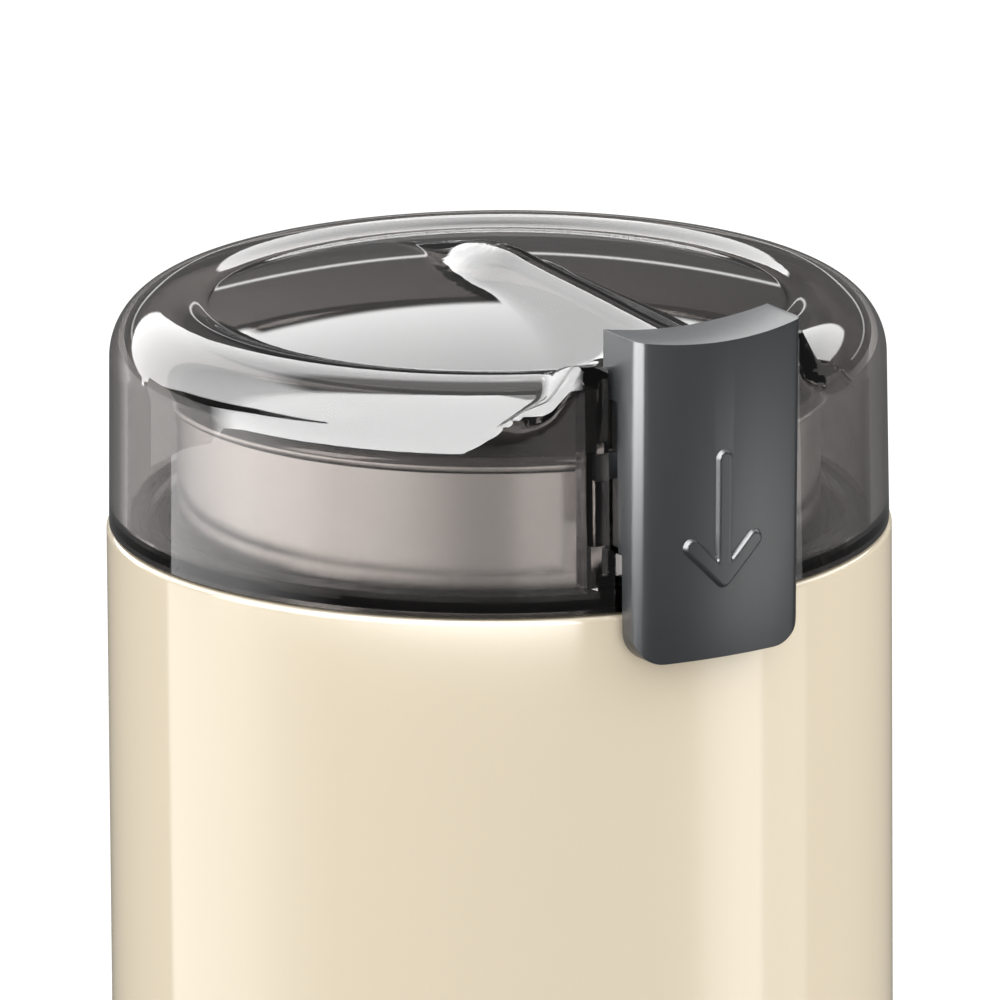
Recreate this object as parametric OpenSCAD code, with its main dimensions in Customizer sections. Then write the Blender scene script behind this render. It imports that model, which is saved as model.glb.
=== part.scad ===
// Electric spice grinder with a steel bowl, a universal motor and a press-down lid button.
// Millimetres. The origin is the centre of the plane that the feet stand on.
// +Z is up and the button faces -Y. Heights named *_z are above that plane.

/* [Housing] */
// Thickness of the housing's wall
body_wall = 2.6; // [2.2:0.1:2.8]
// Radius of the housing's bottom edge
body_edge_r = 2; // [1:0.25:2.25]
// Radius of the housing's top edge
rim_edge_r = 0.6; // [0.3:0.1:0.9]
// How far the feet hold the housing off the table
stand_h = 2; // [1.5:0.25:3]

/* [Base] */
// Thickness of the base plate
plate_t = 2.5; // [2.25:0.25:3]
// Diameter of a foot
foot_d = 10; // [8:0.5:12]
// Depth of the recess that holds a foot
foot_sink = 1.2; // [0.8:0.1:1.4]
// Distance of a foot's middle from the housing's inner wall
foot_inset = 9.9; // [8:0.1:12]
// Number of air slots in the base plate
vent_n = 12; // [8:1:16]
// Width of an air slot
vent_w = 2.4; // [1.6:0.2:3]
// Distance of a base screw from the housing's inner wall
post_inset = 5.5; // [5:0.1:6.5]
// Diameter of the posts that take the base screws
post_d = 8; // [7:0.5:9]
// Height of those posts
post_h = 20; // [14:1:24]

/* [Bowl and its carrier] */
// Inner diameter of the bowl
bowl_d = 70; // [64:0.5:76]
// Thickness of the bowl's sheet
bowl_t = 0.6; // [0.5:0.1:0.8]
// Depth of the bowl inside
bowl_depth = 42.4; // [38:0.2:48]
// How far the bowl stands up above the housing's top edge
bowl_rise = 16.5; // [15.5:0.1:17]
// Radius between the bowl's floor and its wall
bowl_corner_r = 5; // [4:0.5:8]
// Radius of the rolled bead at the bowl's edge
bead_r = 0.9; // [0.7:0.05:1]
// Wall of the bowl carrier
carrier_wall = 1.6; // [1.4:0.1:1.7]
// Thickness of the carrier's floor
carrier_floor_t = 3; // [2.5:0.25:3.5]
// Depth of the carrier's deck below the housing's top edge
deck_drop = 7.5; // [7.25:0.05:8]
// Thickness of the deck
deck_t = 3; // [2.5:0.25:3.5]
// Length of the bosses that stand on the housing's lugs
lug_boss_h = 5; // [4:0.5:6]
// Length of the bosses that carry the motor
motor_boss_h = 14.5; // [13.5:0.5:15]
// Distance of a carrier screw from the housing's inner wall
lug_inset = 7.9; // [7.5:0.1:9.5]

/* [Lid] */
// How far the lid's wall stands back from the housing's side
lid_step = 0.3; // [0.2:0.05:0.5]
// Seam between the lid and the housing
lid_gap = 0.3; // [0.2:0.05:0.4]
// Wall of the lid
lid_wall = 2; // [1.8:0.1:2.1]
// How much the lid's side leans in up to the shoulder
lid_draft = 0.23; // [0.1:0.01:0.4]
// Height of the shoulder's centre above the housing's top edge
shoulder_h = 18.9; // [18.5:0.1:19.5]
// Radius of the shoulder
shoulder_r = 7; // [6.5:0.1:7.5]
// Height of the dome's middle above the housing's top edge
dome_h = 28.75; // [28.5:0.05:29]
// Distance of the dome's outline from the lid's side
dome_inset = 10.2; // [9.8:0.1:11]
// How far the dome falls from its middle to that outline
dome_fall = 3.95; // [3.5:0.05:4.2]
// Highest point of the ridge above the housing's top edge
ridge_h = 31; // [30.8:0.1:31.5]
// Height of the ridge where it meets the button
ridge_end_h = 29.4; // [29.2:0.1:29.8]
// Half width of the ridge at its highest point
ridge_half_w = 8.5; // [8:0.25:9]
// How far the ridge runs on beyond the middle, away from the button
ridge_tail = 17.8; // [16:0.2:19]
// Width of each upright cheek beside the button, at the shoulder's height
cheek_w = 11.2; // [10.5:0.1:11.9]
// Depth of the spigot that enters the housing's mouth
spigot_h = 5.8; // [5:0.1:6]
// Thickness of the spigot
spigot_t = 2; // [1.6:0.1:2.2]

/* [Button] */
// Width of the button
button_w = 21; // [20:0.2:22]
// How far the button's face stands out from the housing's side
button_out = 3.8; // [3.4:0.1:4.2]
// Gap between the button's apron and the housing's side
apron_gap = 0.9; // [0.7:0.05:1.1]
// How far the apron hangs below the housing's top edge
apron_drop = 5.1; // [4.6:0.1:6]
// Height of the button's top corners above the housing's top edge
button_top_h = 31.6; // [31.2:0.1:32]
// Depth of the finger hollow in the button's top
hollow_depth = 1; // [0.6:0.1:1.3]
// Travel of the button
travel = 3; // [2.5:0.1:3]
// Radius of the apron's lower corners
apron_corner_r = 3.5; // [2.5:0.25:4.5]
// Radius of the button's upright edges
button_edge_r = 1.2; // [0.8:0.1:1.6]
// Height of the lid's band below the button's slot
band_h = 4.1; // [3.9:0.1:4.4]
// Width of an arrow stroke
arrow_w = 2.2; // [1.8:0.1:2.6]
// How far the arrow stands out of the button's face
arrow_raise = 0.6; // [0.4:0.1:0.8]
// Length of the arrow
arrow_l = 13.6; // [12:0.2:15]

/* [Switch] */
// Diameter of the switch rod
rod_d = 2.2; // [2:0.1:2.3]
// Gap between the switch rod and the bowl carrier's wall
rod_gap = 0.4; // [0.3:0.05:0.6]
// Gap between the switch rod and the housing's wall
rod_wall_gap = 0.9; // [0.8:0.05:1]
// Length of the spring under the rod's head
rod_spring_l = 6; // [5.6:0.1:6.2]
// Angle of the switch lever at rest
lever_angle = 12; // [11.5:0.25:13]
// Distance of the lever's hinge from the rod
lever_arm = 15.5; // [15:0.25:16.5]
// Thickness of the lever
lever_t = 0.4; // [0.3:0.1:0.5]
// Depth of the switch's top below the carrier's floor
switch_drop = 15; // [14.5:0.25:15.5]
// Length, depth and height of the switch's case
switch_size = [20, 6.4, 10];

/* [Motor] */
// Diameter of the motor shaft
shaft_d = 5; // [4.6:0.2:5.4]
// Length of the stator along X
stator_l = 50; // [48:0.5:51]
// Width of the stator along Y
stator_w = 44; // [42:0.5:45]
// Height of the stack of laminations
stack_h = 24; // [22:0.5:25]
// Diameter of the rotor
rotor_d = 27.6; // [26.6:0.2:28]
// Air gap between the rotor and the stator
air_gap = 0.5; // [0.4:0.05:0.6]
// Diameter of the commutator
comm_d = 18; // [16:0.5:18.5]
// Length of the commutator
comm_h = 12; // [10:0.5:12.5]
// Number of slots in the rotor and bars in the commutator
rotor_slots = 12; // [8:1:16]
// Thickness of the motor brackets
bracket_t = 2.5; // [2:0.25:3]
// Length of the upper bracket's legs
upper_leg_h = 9; // [8.5:0.25:9.5]
// Length of the lower bracket's legs
lower_leg_h = 24.5; // [24:0.25:26]
// Distance of a bracket screw from the stator's side
stack_screw_inset = 3.5; // [3.2:0.1:4]
// How far a mounting screw stands outside the stator's end
mount_screw_out = 0.5; // [0:0.1:1.5]
// Height of a rubber damper
damper_h = 5; // [4:0.5:5.5]
// Length of a bearing bush
bush_h = 6.5; // [5.5:0.25:7]
// Outer diameter of a bearing bush
bush_d = 14; // [12:0.5:14]
// Side of a carbon brush
brush_w = 6.2; // [5:0.2:6.6]
// Outer diameter of the cooling fan
fan_d = 48; // [40:1:52]
// Room between the fan and the base plate
fan_room = 4.5; // [3:0.5:8]
// Gap between the fan and the lower bearing
fan_gap = 3; // [2:0.25:4]
// Height of the cooling fan
fan_h = 8; // [6:0.5:8.5]
// Number of fan vanes
fan_n = 8; // [6:1:12]

/* [Blade] */
// Span of the blade from tip to tip
blade_span = 60; // [54:1:62]
// Width of the blade
blade_w = 8; // [7:0.5:9]
// Thickness of the blade
blade_t = 1.2; // [1:0.1:1.6]
// Upward bend of one wing
wing_up = 18; // [10:1:24]
// Downward bend of the other wing
wing_down = 7; // [3:0.5:8]

/* [Cord inlet] */
// Diameter of the cord's hole in the gland
cord_hole_d = 6.4; // [5:0.2:7]
// Height of the gland's axis above the base plate
gland_rise = 13.5; // [12:0.5:18]
// How far the gland stands out behind the housing
gland_out = 4.4; // [3:0.1:6]

/* [Hidden] */
$fn = 96;

// Clearances
slip_gap = 0.2;
run_gap = 0.05;
press_gap = 0.02;
free_gap = 0.3;
cut = 1;

// Radii, from the bowl outwards
bowl_r = bowl_d / 2;
bowl_out_r = bowl_r + bowl_t;
carrier_in_r = bowl_out_r + slip_gap;
carrier_out_r = carrier_in_r + carrier_wall;
body_in_r = carrier_out_r + rod_gap + rod_d + rod_wall_gap;
body_r = body_in_r + body_wall;
lug_r = body_in_r - lug_inset;
post_r = body_in_r - post_inset;
foot_r = body_in_r - foot_inset;

// Heights, from the base plate upwards
shaft_r = shaft_d / 2;
bore_r = shaft_r + press_gap;
cup_r = bush_d / 2 + press_gap;
cup_wall = 2;
cup_h = bush_h + 0.5;
plate_top_z = stand_h + plate_t;
fan_z = plate_top_z + fan_room;
lower_bar_z = fan_z + fan_h + fan_gap + cup_h;
lower_bar_top_z = lower_bar_z + bracket_t;
stack_z = lower_bar_top_z + lower_leg_h;
stack_top_z = stack_z + stack_h;
upper_bar_z = stack_top_z + upper_leg_h;
mount_boss_z = upper_bar_z + bracket_t + damper_h;
carrier_z = mount_boss_z + motor_boss_h;
bowl_base_z = carrier_z + carrier_floor_t;
bowl_floor_z = bowl_base_z + bowl_t;
bowl_top_z = bowl_floor_z + bowl_depth;
rim_z = bowl_top_z - bowl_rise;
lug_z = carrier_z - lug_boss_h;
deck_z = rim_z - deck_drop;

// Housing
lug_angles = [90, 210, 330];
post_angles = [30, 150, 270];
lug_t = 4;
lug_w = 9;
web_t = 3;
m3_r = 1.5;
m3_head_r = 2.8;
m3_head_h = 1.6;
m3_pilot_r = 1.25;
m3_hole_r = 1.6;

// Base
plate_r = body_in_r - slip_gap;
vent_in_r = 9;
vent_out_r = 23;
base_screw_l = 12;

// Bowl and carrier
boss_r = 4;
seal_r = 7;
seal_flange_r = 9;
seal_flange_h = 1.4;
seal_collar_r = 10;
seal_collar_h = 4;
gasket_t = 1.2;
gasket_h = 1.5;

// Motor
stack_screw_r = stator_w / 2 - stack_screw_inset;
mount_screw_r = stator_l / 2 + mount_screw_out;
bar_w = 12;
leg_w = 9;
leg_d = 6.4;
bar_end = stack_screw_r + leg_d / 2;
stack_head_r = 3;
stack_head_h = 2.4;
mount_head_h = 2;
cup_floor_t = 0.8;
screw_seat_t = 1;
stack_screw_hole_r = 1.75;
stack_screw_rad = 1.7;
rotor_r = rotor_d / 2;
stator_bore_r = rotor_r + air_gap;
pole_half_w = 8;
window_in_x = stator_bore_r + 0.7;
window_out_x = stator_l / 2 - 4;
window_end_y = stator_w / 2 - 5.8;
coil_rise = 6;
coil_gap = 0.2;
coil_corner_r = 4;
coil_in_r = 0.5;
comm_z = lower_bar_top_z + 4.5;
comm_r = comm_d / 2;
winding_r = 12.2;
winding_low_h = 7;
winding_top_h = 5.5;
shaft_z = fan_z - 0.5;

// Brushes
brush_z = comm_z + comm_h / 2;
box_wall = 1.6;
box_w = brush_w + 2 * box_wall + 2 * run_gap;
box_gap = 1.5;
box_l = 13.5;
box_in_x = comm_r + box_gap;
box_end_x = box_in_x + box_l;
brush_plate_t = 2;
brush_l = 8;
brush_spring_wire_r = 0.3;

// Blade stack on the shaft
hub_z = bowl_floor_z + seal_flange_h + 0.5;
hub_h = 3.2;
hub_r = 6;
blade_z = hub_z + hub_h;
blade_top_z = blade_z + blade_t;
thread_r = shaft_r - 0.5;
thread_h = 3.5;
nut_r = 4.2;
nut_h = 3.4;
nut_dome_r = 3.4;
wing_start = 11;
grind_start = 2;
grind_w = 2;

// Switch
rod_r = rod_d / 2;
rod_y = -(body_in_r - rod_wall_gap - rod_r);
head_h = 1.4;
head_z = deck_z + rod_spring_l;
head_w = 5;
head_d = 3;
stop_h = 2.2;
switch_top_z = carrier_z - switch_drop;
switch_z = switch_top_z - switch_size.z;
hinge_z = switch_top_z + 1;
switch_x = -lever_arm - 1.5;
switch_y = rod_y + 4.1;
lever_rad = 0.8;
hinge_pin_r = 0.4;
lever_w = 4.4;
lever_l = 16.6;
nose_r = 1.5;
nose_z = hinge_z + lever_arm * tan(lever_angle)
    + (nose_r + free_gap + lever_t / 2) / cos(lever_angle);
nose_end_y = switch_y + 5.2;
tab_t = 2;
ear_t = 0.6;
switch_screw_in = 3;
m2_r = 0.8;
m2_hole_r = 1.05;
m2_head_r = 1.8;
m2_head_h = 1.2;
terminal_h = 4;
terminal_xs = [3, 16];

// Lid, measured up from the housing's top edge
lid_r = body_r - lid_step;
lid_z = rim_z + lid_gap;
shoulder_c = lid_r - lid_draft - shoulder_r;
dome_r = lid_r - dome_inset;
dome_sphere_r = (dome_r * dome_r + dome_fall * dome_fall) / (2 * dome_fall);
spigot_r = body_in_r - free_gap;
slot_side_gap = 0.6;
slot_half_w = button_w / 2 + slot_side_gap;
guide_t = 1.6;
guide_room = 1.4;
slot_y = -(bowl_out_r + guide_room + guide_t);
guide_back_h = bowl_rise + 1;
button_back_y = slot_y - 0.9;
ridge_peak_y = -1.3;
ridge_foot_h = 26;
ridge_end_w = button_w / 2 + 1.9;
cheek_top_h = 28;
cheek_top_w = slot_half_w + guide_t + 1.8;
cheek_half_w = button_w / 2 + cheek_w;
cheek_in_y = 2 - shoulder_c;
shelf_t = 2;
lip_w = 1.5;
lip_in_x = slot_half_w - lip_w;
lip_h = travel + 0.3;
lip_fall = 0.9;
leg_half_w = 4;
post_pin_r = 0.65;
post_pin_h = 1.5;

// Button
face_r = body_r + button_out;
apron_r = body_r + apron_gap;
block_z = rim_z + band_h + travel;
apron_z = rim_z - apron_drop;
button_top_z = rim_z + button_top_h;
block_edge_y = -sqrt(pow(face_r - button_edge_r, 2) - pow(button_w / 2 - button_edge_r, 2));
leg_z = head_z + head_h + free_gap;
leg_in_y = rod_y + 1.2;
leg_out_y = rod_y - 1.6;
nib_out = 1;
nib_h = 3;
nib_d = 1;
nib_slot_top_h = 18.1;
nib_slot_z = rim_z + nib_slot_top_h;
nib_slot_h = 10.4;
nib_y = button_back_y - nib_d;
recess_x = lip_in_x - slip_gap;
recess_y = -sqrt(lid_r * lid_r - lip_in_x * lip_in_x) - free_gap;
recess_top_h = 24;
spring_x = leg_half_w + 2.6;
spring_mean_r = 1.05;
spring_wire_r = 0.2;
spring_pocket_r = 1.4;
spring_pocket_wall = 0.45;
spring_y = button_back_y - spring_pocket_r - spring_pocket_wall;
spring_pocket_h = 9;
arrow_top_h = 17.4;
arrow_head = 4;

// Mains parts
cap_size = [17, 7, 12];
cap_r = body_in_r - 8.4;
cap_angle = 210;
cap_rim = 1.2;
fuse_r = 1.9;
fuse_l = 10;
fuse_inset = 7;
lead_r = 0.9;
lead_end_gap = 0.1;
lead_stub_l = 2;
gland_z = plate_top_z + gland_rise;
gland_body_r = 5.4;
gland_flange_r = 7.5;
gland_flange_t = 2;
gland_lip_t = 1.5;

cream = [0.90, 0.85, 0.76];
anthracite = [0.25, 0.26, 0.27];
steel = [0.78, 0.78, 0.79];
iron = [0.45, 0.45, 0.47];
copper = [0.72, 0.42, 0.25];
rubber = [0.10, 0.10, 0.11];
board_grey = [0.55, 0.56, 0.57];
smoke = [0.45, 0.42, 0.42, 0.5];

// A square with its four corners rounded, centred on the origin
module rounded_square(w, h, r) {
    square([w - 2 * r, h], center = true);
    square([w, h - 2 * r], center = true);
    for (x = [-1, 1], y = [-1, 1])
        translate([x * (w / 2 - r), y * (h / 2 - r)]) circle(r);
}

// The sliver outside a rounded corner, with the corner at the origin and the solid at -x, +y
module corner_cut(r) {
    difference() {
        translate([-r, -cut]) square([r + cut, r + cut]);
        translate([-r, r]) circle(r);
    }
}

module tube(r_out, r_in, h) {
    difference() {
        cylinder(r = r_out, h = h);
        translate([0, 0, -cut]) cylinder(r = r_in, h = h + 2 * cut);
    }
}

// Faces of a closed tube whose points lie in equal rings, one ring after another
function tube_faces(rings, sides) = concat(
    [for (i = [0:rings - 2], j = [0:sides - 1])
        let (k = (j + 1) % sides)
        [i * sides + j, (i + 1) * sides + j, (i + 1) * sides + k, i * sides + k]],
    [[for (j = [0:sides - 1]) j]],
    [[for (j = [sides - 1:-1:0]) (rings - 1) * sides + j]]);

function unit(v) = v / norm(v);

// A pan-head screw whose head lies under z = 0 and whose shank runs up
module screw_up(shank_r, shank_l, head_r, head_h) {
    cylinder(r = shank_r, h = shank_l);
    difference() {
        translate([0, 0, -head_h]) cylinder(r = head_r, h = head_h);
        for (a = [0, 90]) rotate(a) translate([-head_r / 2, -0.4, -head_h - cut])
            cube([head_r, 0.8, cut + head_h / 2]);
    }
}

// A helical compression spring that stands on z = 0
module coil_spring(mean_r, wire_r, length, turns) {
    steps = 14;
    sides = 6;
    n = turns * steps;
    points = [for (i = [0:n], j = [0:sides - 1])
        let (a = 360 * i / steps, b = 360 * j / sides, r = mean_r + wire_r * cos(b))
        [r * cos(a), r * sin(a), wire_r + (length - 2 * wire_r) * i / n + wire_r * sin(b)]];
    polyhedron(points, tube_faces(n + 1, sides), convexity = 6);
}

// ---- Housing and base ----

module housing_profile() {
    difference() {
        translate([0, stand_h]) square([body_r, rim_z - stand_h]);
        translate([body_r, stand_h]) corner_cut(body_edge_r);
        translate([body_r, rim_z]) mirror([0, 1]) corner_cut(rim_edge_r);
    }
}

// Bracket on the housing's wall that the bowl carrier is screwed to
module housing_lug() {
    translate([lug_r, 0, lug_z - lug_t]) cylinder(r = lug_w / 2, h = lug_t);
    translate([lug_r, -lug_w / 2, lug_z - lug_t]) cube([body_in_r - lug_r + 1, lug_w, lug_t]);
}

module base_post() {
    translate([post_r, 0, plate_top_z]) cylinder(r = post_d / 2, h = post_h);
    translate([post_r, -web_t / 2, plate_top_z]) cube([body_in_r - post_r + 1, web_t, post_h]);
}

module housing() {
    color(cream) difference() {
        union() {
            difference() {
                rotate_extrude() housing_profile();
                cylinder(r = body_in_r, h = rim_z + cut);
            }
            for (a = lug_angles) rotate(a) housing_lug();
            for (a = post_angles) rotate(a) base_post();
        }
        for (a = lug_angles) rotate(a) translate([lug_r, 0, lug_z - lug_t - cut])
            cylinder(r = m3_hole_r, h = lug_t + 2 * cut);
        for (a = post_angles) rotate(a) translate([post_r, 0, plate_top_z - cut])
            cylinder(r = m3_pilot_r, h = base_screw_l + cut);
        translate([0, body_in_r - cut, gland_z]) rotate([-90, 0, 0])
            cylinder(r = gland_body_r + run_gap, h = body_wall + 2 * cut);
    }
}

module base_plate() {
    color(anthracite) difference() {
        union() {
            translate([0, 0, stand_h]) cylinder(r = plate_r, h = plate_t);
            rotate(cap_angle) translate([cap_r, 0, plate_top_z + cap_rim])
                cube([cap_size.y + 2 * cap_rim, cap_size.x + 2 * cap_rim, 2 * cap_rim],
                    center = true);
        }
        rotate(cap_angle) translate([cap_r, 0, plate_top_z + cap_size.z / 2])
            cube([cap_size.y + run_gap, cap_size.x + run_gap, cap_size.z], center = true);
        for (i = [0:vent_n - 1]) rotate(i * 360 / vent_n)
            translate([vent_in_r, -vent_w / 2, stand_h - cut])
                cube([vent_out_r - vent_in_r, vent_w, plate_t + 2 * cut]);
        for (a = lug_angles) rotate(a) translate([foot_r, 0, stand_h - cut])
            cylinder(r = foot_d / 2 + press_gap, h = foot_sink + cut);
        for (a = post_angles) rotate(a) translate([post_r, 0, stand_h - cut]) {
            cylinder(r = m3_hole_r, h = plate_t + 2 * cut);
            cylinder(r = m3_head_r + slip_gap, h = m3_head_h + cut);
        }
    }
}

module rubber_feet() {
    color(rubber) for (a = lug_angles) rotate(a) translate([foot_r, 0, 0]) difference() {
        cylinder(r = foot_d / 2, h = stand_h + foot_sink);
        rotate_extrude() translate([foot_d / 2, 0]) corner_cut(0.6);
    }
}

module base_screws() {
    color(steel) for (a = post_angles) rotate(a)
        translate([post_r, 0, stand_h + m3_head_h])
            screw_up(m3_pilot_r, base_screw_l - m3_head_h, m3_head_r, m3_head_h);
}

module cord_gland() {
    color(rubber) translate([0, body_r, gland_z]) rotate([-90, 0, 0]) difference() {
        union() {
            cylinder(r = gland_flange_r, h = gland_flange_t);
            cylinder(r = gland_body_r - 0.4, h = gland_out);
            translate([0, 0, -body_wall - gland_lip_t])
                cylinder(r = gland_body_r, h = body_wall + gland_lip_t);
            translate([0, 0, -body_wall - gland_lip_t - 0.6])
                cylinder(r = gland_flange_r - 1, h = gland_lip_t);
        }
        translate([0, 0, -body_r]) cylinder(r = cord_hole_d / 2, h = body_r + gland_out + cut);
        // The flanges lie against a round wall
        translate([0, 0, -body_r]) rotate([90, 0, 0]) difference() {
            cylinder(r = body_r + press_gap, h = gland_flange_r * 3, center = true);
            cylinder(r = body_in_r - press_gap, h = gland_flange_r * 4, center = true);
            rotate([-90, 0, 0]) cylinder(r = gland_body_r, h = body_r + cut);
        }
    }
}

// ---- Bowl and carrier ----

module bowl_section(r, floor_z, corner) {
    difference() {
        translate([0, floor_z]) square([r, bowl_top_z - bead_r - floor_z]);
        translate([r, floor_z]) corner_cut(corner);
    }
}

module grinding_bowl() {
    color(steel) rotate_extrude() {
        difference() {
            bowl_section(bowl_out_r, bowl_base_z, bowl_corner_r + bowl_t);
            bowl_section(bowl_r, bowl_floor_z, bowl_corner_r);
            square([seal_r + press_gap, bowl_top_z]);
            translate([0, bowl_top_z - 2 * bead_r]) square([bowl_r, 2 * bead_r]);
        }
        translate([bowl_r + bead_r, bowl_top_z - bead_r]) circle(bead_r);
    }
}

module bowl_carrier() {
    color(anthracite) difference() {
        union() {
            translate([0, 0, carrier_z]) cylinder(r = carrier_out_r, h = deck_z - carrier_z);
            translate([0, 0, deck_z - deck_t])
                cylinder(r = body_in_r - slip_gap, h = deck_t);
            translate([0, 0, carrier_z - seal_collar_h])
                cylinder(r = seal_collar_r, h = seal_collar_h + cut);
            for (a = lug_angles) rotate(a) translate([lug_r, 0, lug_z])
                cylinder(r = boss_r, h = lug_boss_h + cut);
            for (s = [-1, 1]) translate([s * mount_screw_r, 0, mount_boss_z])
                cylinder(r = boss_r, h = motor_boss_h + cut);
            translate([switch_x, switch_y + switch_size.y, switch_z - 1])
                cube([switch_size.x, tab_t, carrier_z - switch_z + 1 + cut]);
        }
        translate([0, 0, bowl_base_z]) cylinder(r = carrier_in_r, h = deck_z);
        translate([0, 0, carrier_z - seal_collar_h - cut])
            cylinder(r = seal_r + press_gap, h = carrier_floor_t + seal_collar_h + 2 * cut);
        for (a = lug_angles) rotate(a) translate([lug_r, 0, lug_z - cut])
            cylinder(r = m3_pilot_r, h = lug_boss_h + cut + 1);
        for (s = [-1, 1]) translate([s * mount_screw_r, 0, mount_boss_z - cut])
            cylinder(r = m3_pilot_r, h = motor_boss_h - 2);
        translate([0, rod_y, deck_z - deck_t - cut])
            cylinder(r = rod_r + run_gap, h = deck_t + 2 * cut);
        switch_screw_places() rotate([-90, 0, 0])
            cylinder(r = m2_r, h = switch_size.y + 2 * tab_t);
    }
}

module carrier_screws() {
    color(steel) for (a = lug_angles) rotate(a) translate([lug_r, 0, lug_z - lug_t])
        screw_up(m3_pilot_r, lug_t + lug_boss_h, m3_head_r, m3_head_h);
}

module bowl_gasket() {
    color(rubber) translate([0, 0, deck_z])
        tube(bowl_out_r + press_gap + gasket_t, bowl_out_r + press_gap, gasket_h);
}

module shaft_seal() {
    color(rubber) difference() {
        union() {
            translate([0, 0, carrier_z]) cylinder(r = seal_r, h = bowl_floor_z - carrier_z);
            translate([0, 0, bowl_floor_z]) cylinder(r = seal_flange_r, h = seal_flange_h);
        }
        translate([0, 0, carrier_z - cut]) cylinder(r = shaft_r + run_gap, h = bowl_top_z);
    }
}

// ---- Motor ----

// A bridge across the motor with two legs, at z = 0 and with its legs along +Z
module bridge(leg_h) {
    translate([-bar_w / 2, -bar_end, 0]) cube([bar_w, 2 * bar_end, bracket_t]);
    for (s = [-1, 1]) translate([-leg_w / 2, s * stack_screw_r - leg_d / 2, 0])
        cube([leg_w, leg_d, leg_h + bracket_t]);
}

module stack_screw_holes(h) {
    for (s = [-1, 1]) translate([0, s * stack_screw_r, -cut])
        cylinder(r = stack_screw_hole_r, h = h);
}

module upper_bracket() {
    color(iron) difference() {
        union() {
            translate([0, 0, upper_bar_z + bracket_t]) mirror([0, 0, 1]) bridge(upper_leg_h);
            translate([-mount_screw_r - boss_r, -bar_w / 2 + 1, upper_bar_z])
                cube([2 * (mount_screw_r + boss_r), bar_w - 2, bracket_t]);
            translate([0, 0, upper_bar_z]) cylinder(r = cup_r + cup_wall, h = cup_h + 1);
        }
        translate([0, 0, upper_bar_z + cup_floor_t]) cylinder(r = cup_r, h = cup_h + cut);
        translate([0, 0, upper_bar_z - cut]) cylinder(r = shaft_r + 1, h = cup_h);
        translate([0, 0, stack_top_z]) stack_screw_holes(upper_leg_h + bracket_t + 2 * cut);
        for (s = [-1, 1]) translate([s * mount_screw_r, 0, upper_bar_z - cut])
            cylinder(r = m3_hole_r, h = bracket_t + 2 * cut);
    }
}

module lower_bracket() {
    color(iron) difference() {
        union() {
            translate([0, 0, lower_bar_z]) bridge(lower_leg_h);
            translate([0, 0, lower_bar_z - cup_h]) cylinder(r = cup_r + cup_wall, h = cup_h + cut);
        }
        translate([0, 0, lower_bar_z - cup_h - cut]) cylinder(r = cup_r, h = bush_h + cut);
        translate([0, 0, lower_bar_z - cup_h]) cylinder(r = shaft_r + 1, h = cup_h + bracket_t + cut);
        translate([0, 0, lower_bar_z + screw_seat_t])
            stack_screw_holes(lower_leg_h + bracket_t + 2 * cut);
    }
}

module bush(z) {
    color([0.66, 0.52, 0.30]) translate([0, 0, z])
        tube(bush_d / 2, shaft_r + run_gap, bush_h);
}

module upper_bearing() {
    bush(upper_bar_z + cup_floor_t);
}

module lower_bearing() {
    bush(lower_bar_z - cup_h);
}

module stator_core() {
    color(iron) translate([0, 0, stack_z]) linear_extrude(stack_h) difference() {
        intersection() {
            square([stator_l, stator_w], center = true);
            circle(r = stator_l / 2 + 6);
        }
        circle(r = stator_bore_r);
        for (x = [-1, 1], y = [-1, 1])
            translate([x * (window_in_x + window_out_x) / 2, y * (pole_half_w + window_end_y) / 2])
                square([window_out_x - window_in_x, window_end_y - pole_half_w], center = true);
        for (s = [-1, 1]) translate([0, s * stack_screw_r]) circle(r = stack_screw_hole_r);
    }
}

module field_coils() {
    coil_h = stack_h + 2 * coil_rise;
    coil_w = 2 * (window_end_y - coil_gap);
    color(copper) for (s = [-1, 1])
        translate([s * (window_in_x + window_out_x) / 2, 0, stack_z + stack_h / 2])
            rotate([90, 0, 90])
                linear_extrude(window_out_x - window_in_x - 2 * coil_gap, center = true)
                    difference() {
                        rounded_square(coil_w, coil_h, coil_corner_r);
                        rounded_square(2 * (pole_half_w + coil_gap),
                            stack_h + 2 * coil_gap, coil_in_r);
                    }
}

module stack_screws() {
    screw_z = lower_bar_top_z + screw_seat_t;
    color(steel) for (s = [-1, 1]) translate([0, s * stack_screw_r, upper_bar_z + bracket_t])
        mirror([0, 0, 1])
            screw_up(stack_screw_rad, upper_bar_z + bracket_t - screw_z, stack_head_r,
                stack_head_h);
}

module motor_dampers() {
    color(rubber) for (s = [-1, 1])
        translate([s * mount_screw_r, 0, upper_bar_z + bracket_t])
            tube(boss_r + 0.5, m3_hole_r, damper_h);
}

module mount_screws() {
    color(steel) for (s = [-1, 1]) translate([s * mount_screw_r, 0, upper_bar_z])
        screw_up(m3_pilot_r, bracket_t + damper_h + motor_boss_h / 2, m3_head_r, mount_head_h);
}

module motor_shaft() {
    color(steel) {
        translate([0, 0, shaft_z]) cylinder(r = shaft_r, h = blade_z - shaft_z);
        translate([0, 0, blade_z]) cylinder(r = thread_r, h = blade_t + thread_h);
    }
}

module rotor_core() {
    color(iron) translate([0, 0, stack_z]) difference() {
        tube(rotor_r, bore_r, stack_h);
        for (i = [0:rotor_slots - 1]) rotate(i * 360 / rotor_slots)
            translate([rotor_r - 3.5, -0.8, -cut]) cube([5, 1.6, stack_h + 2 * cut]);
    }
}

module winding_end(h) {
    rotate_extrude() difference() {
        translate([(bore_r + winding_r) / 2, h / 2])
            rounded_square(winding_r - bore_r, h, 1.8);
    }
}

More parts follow.
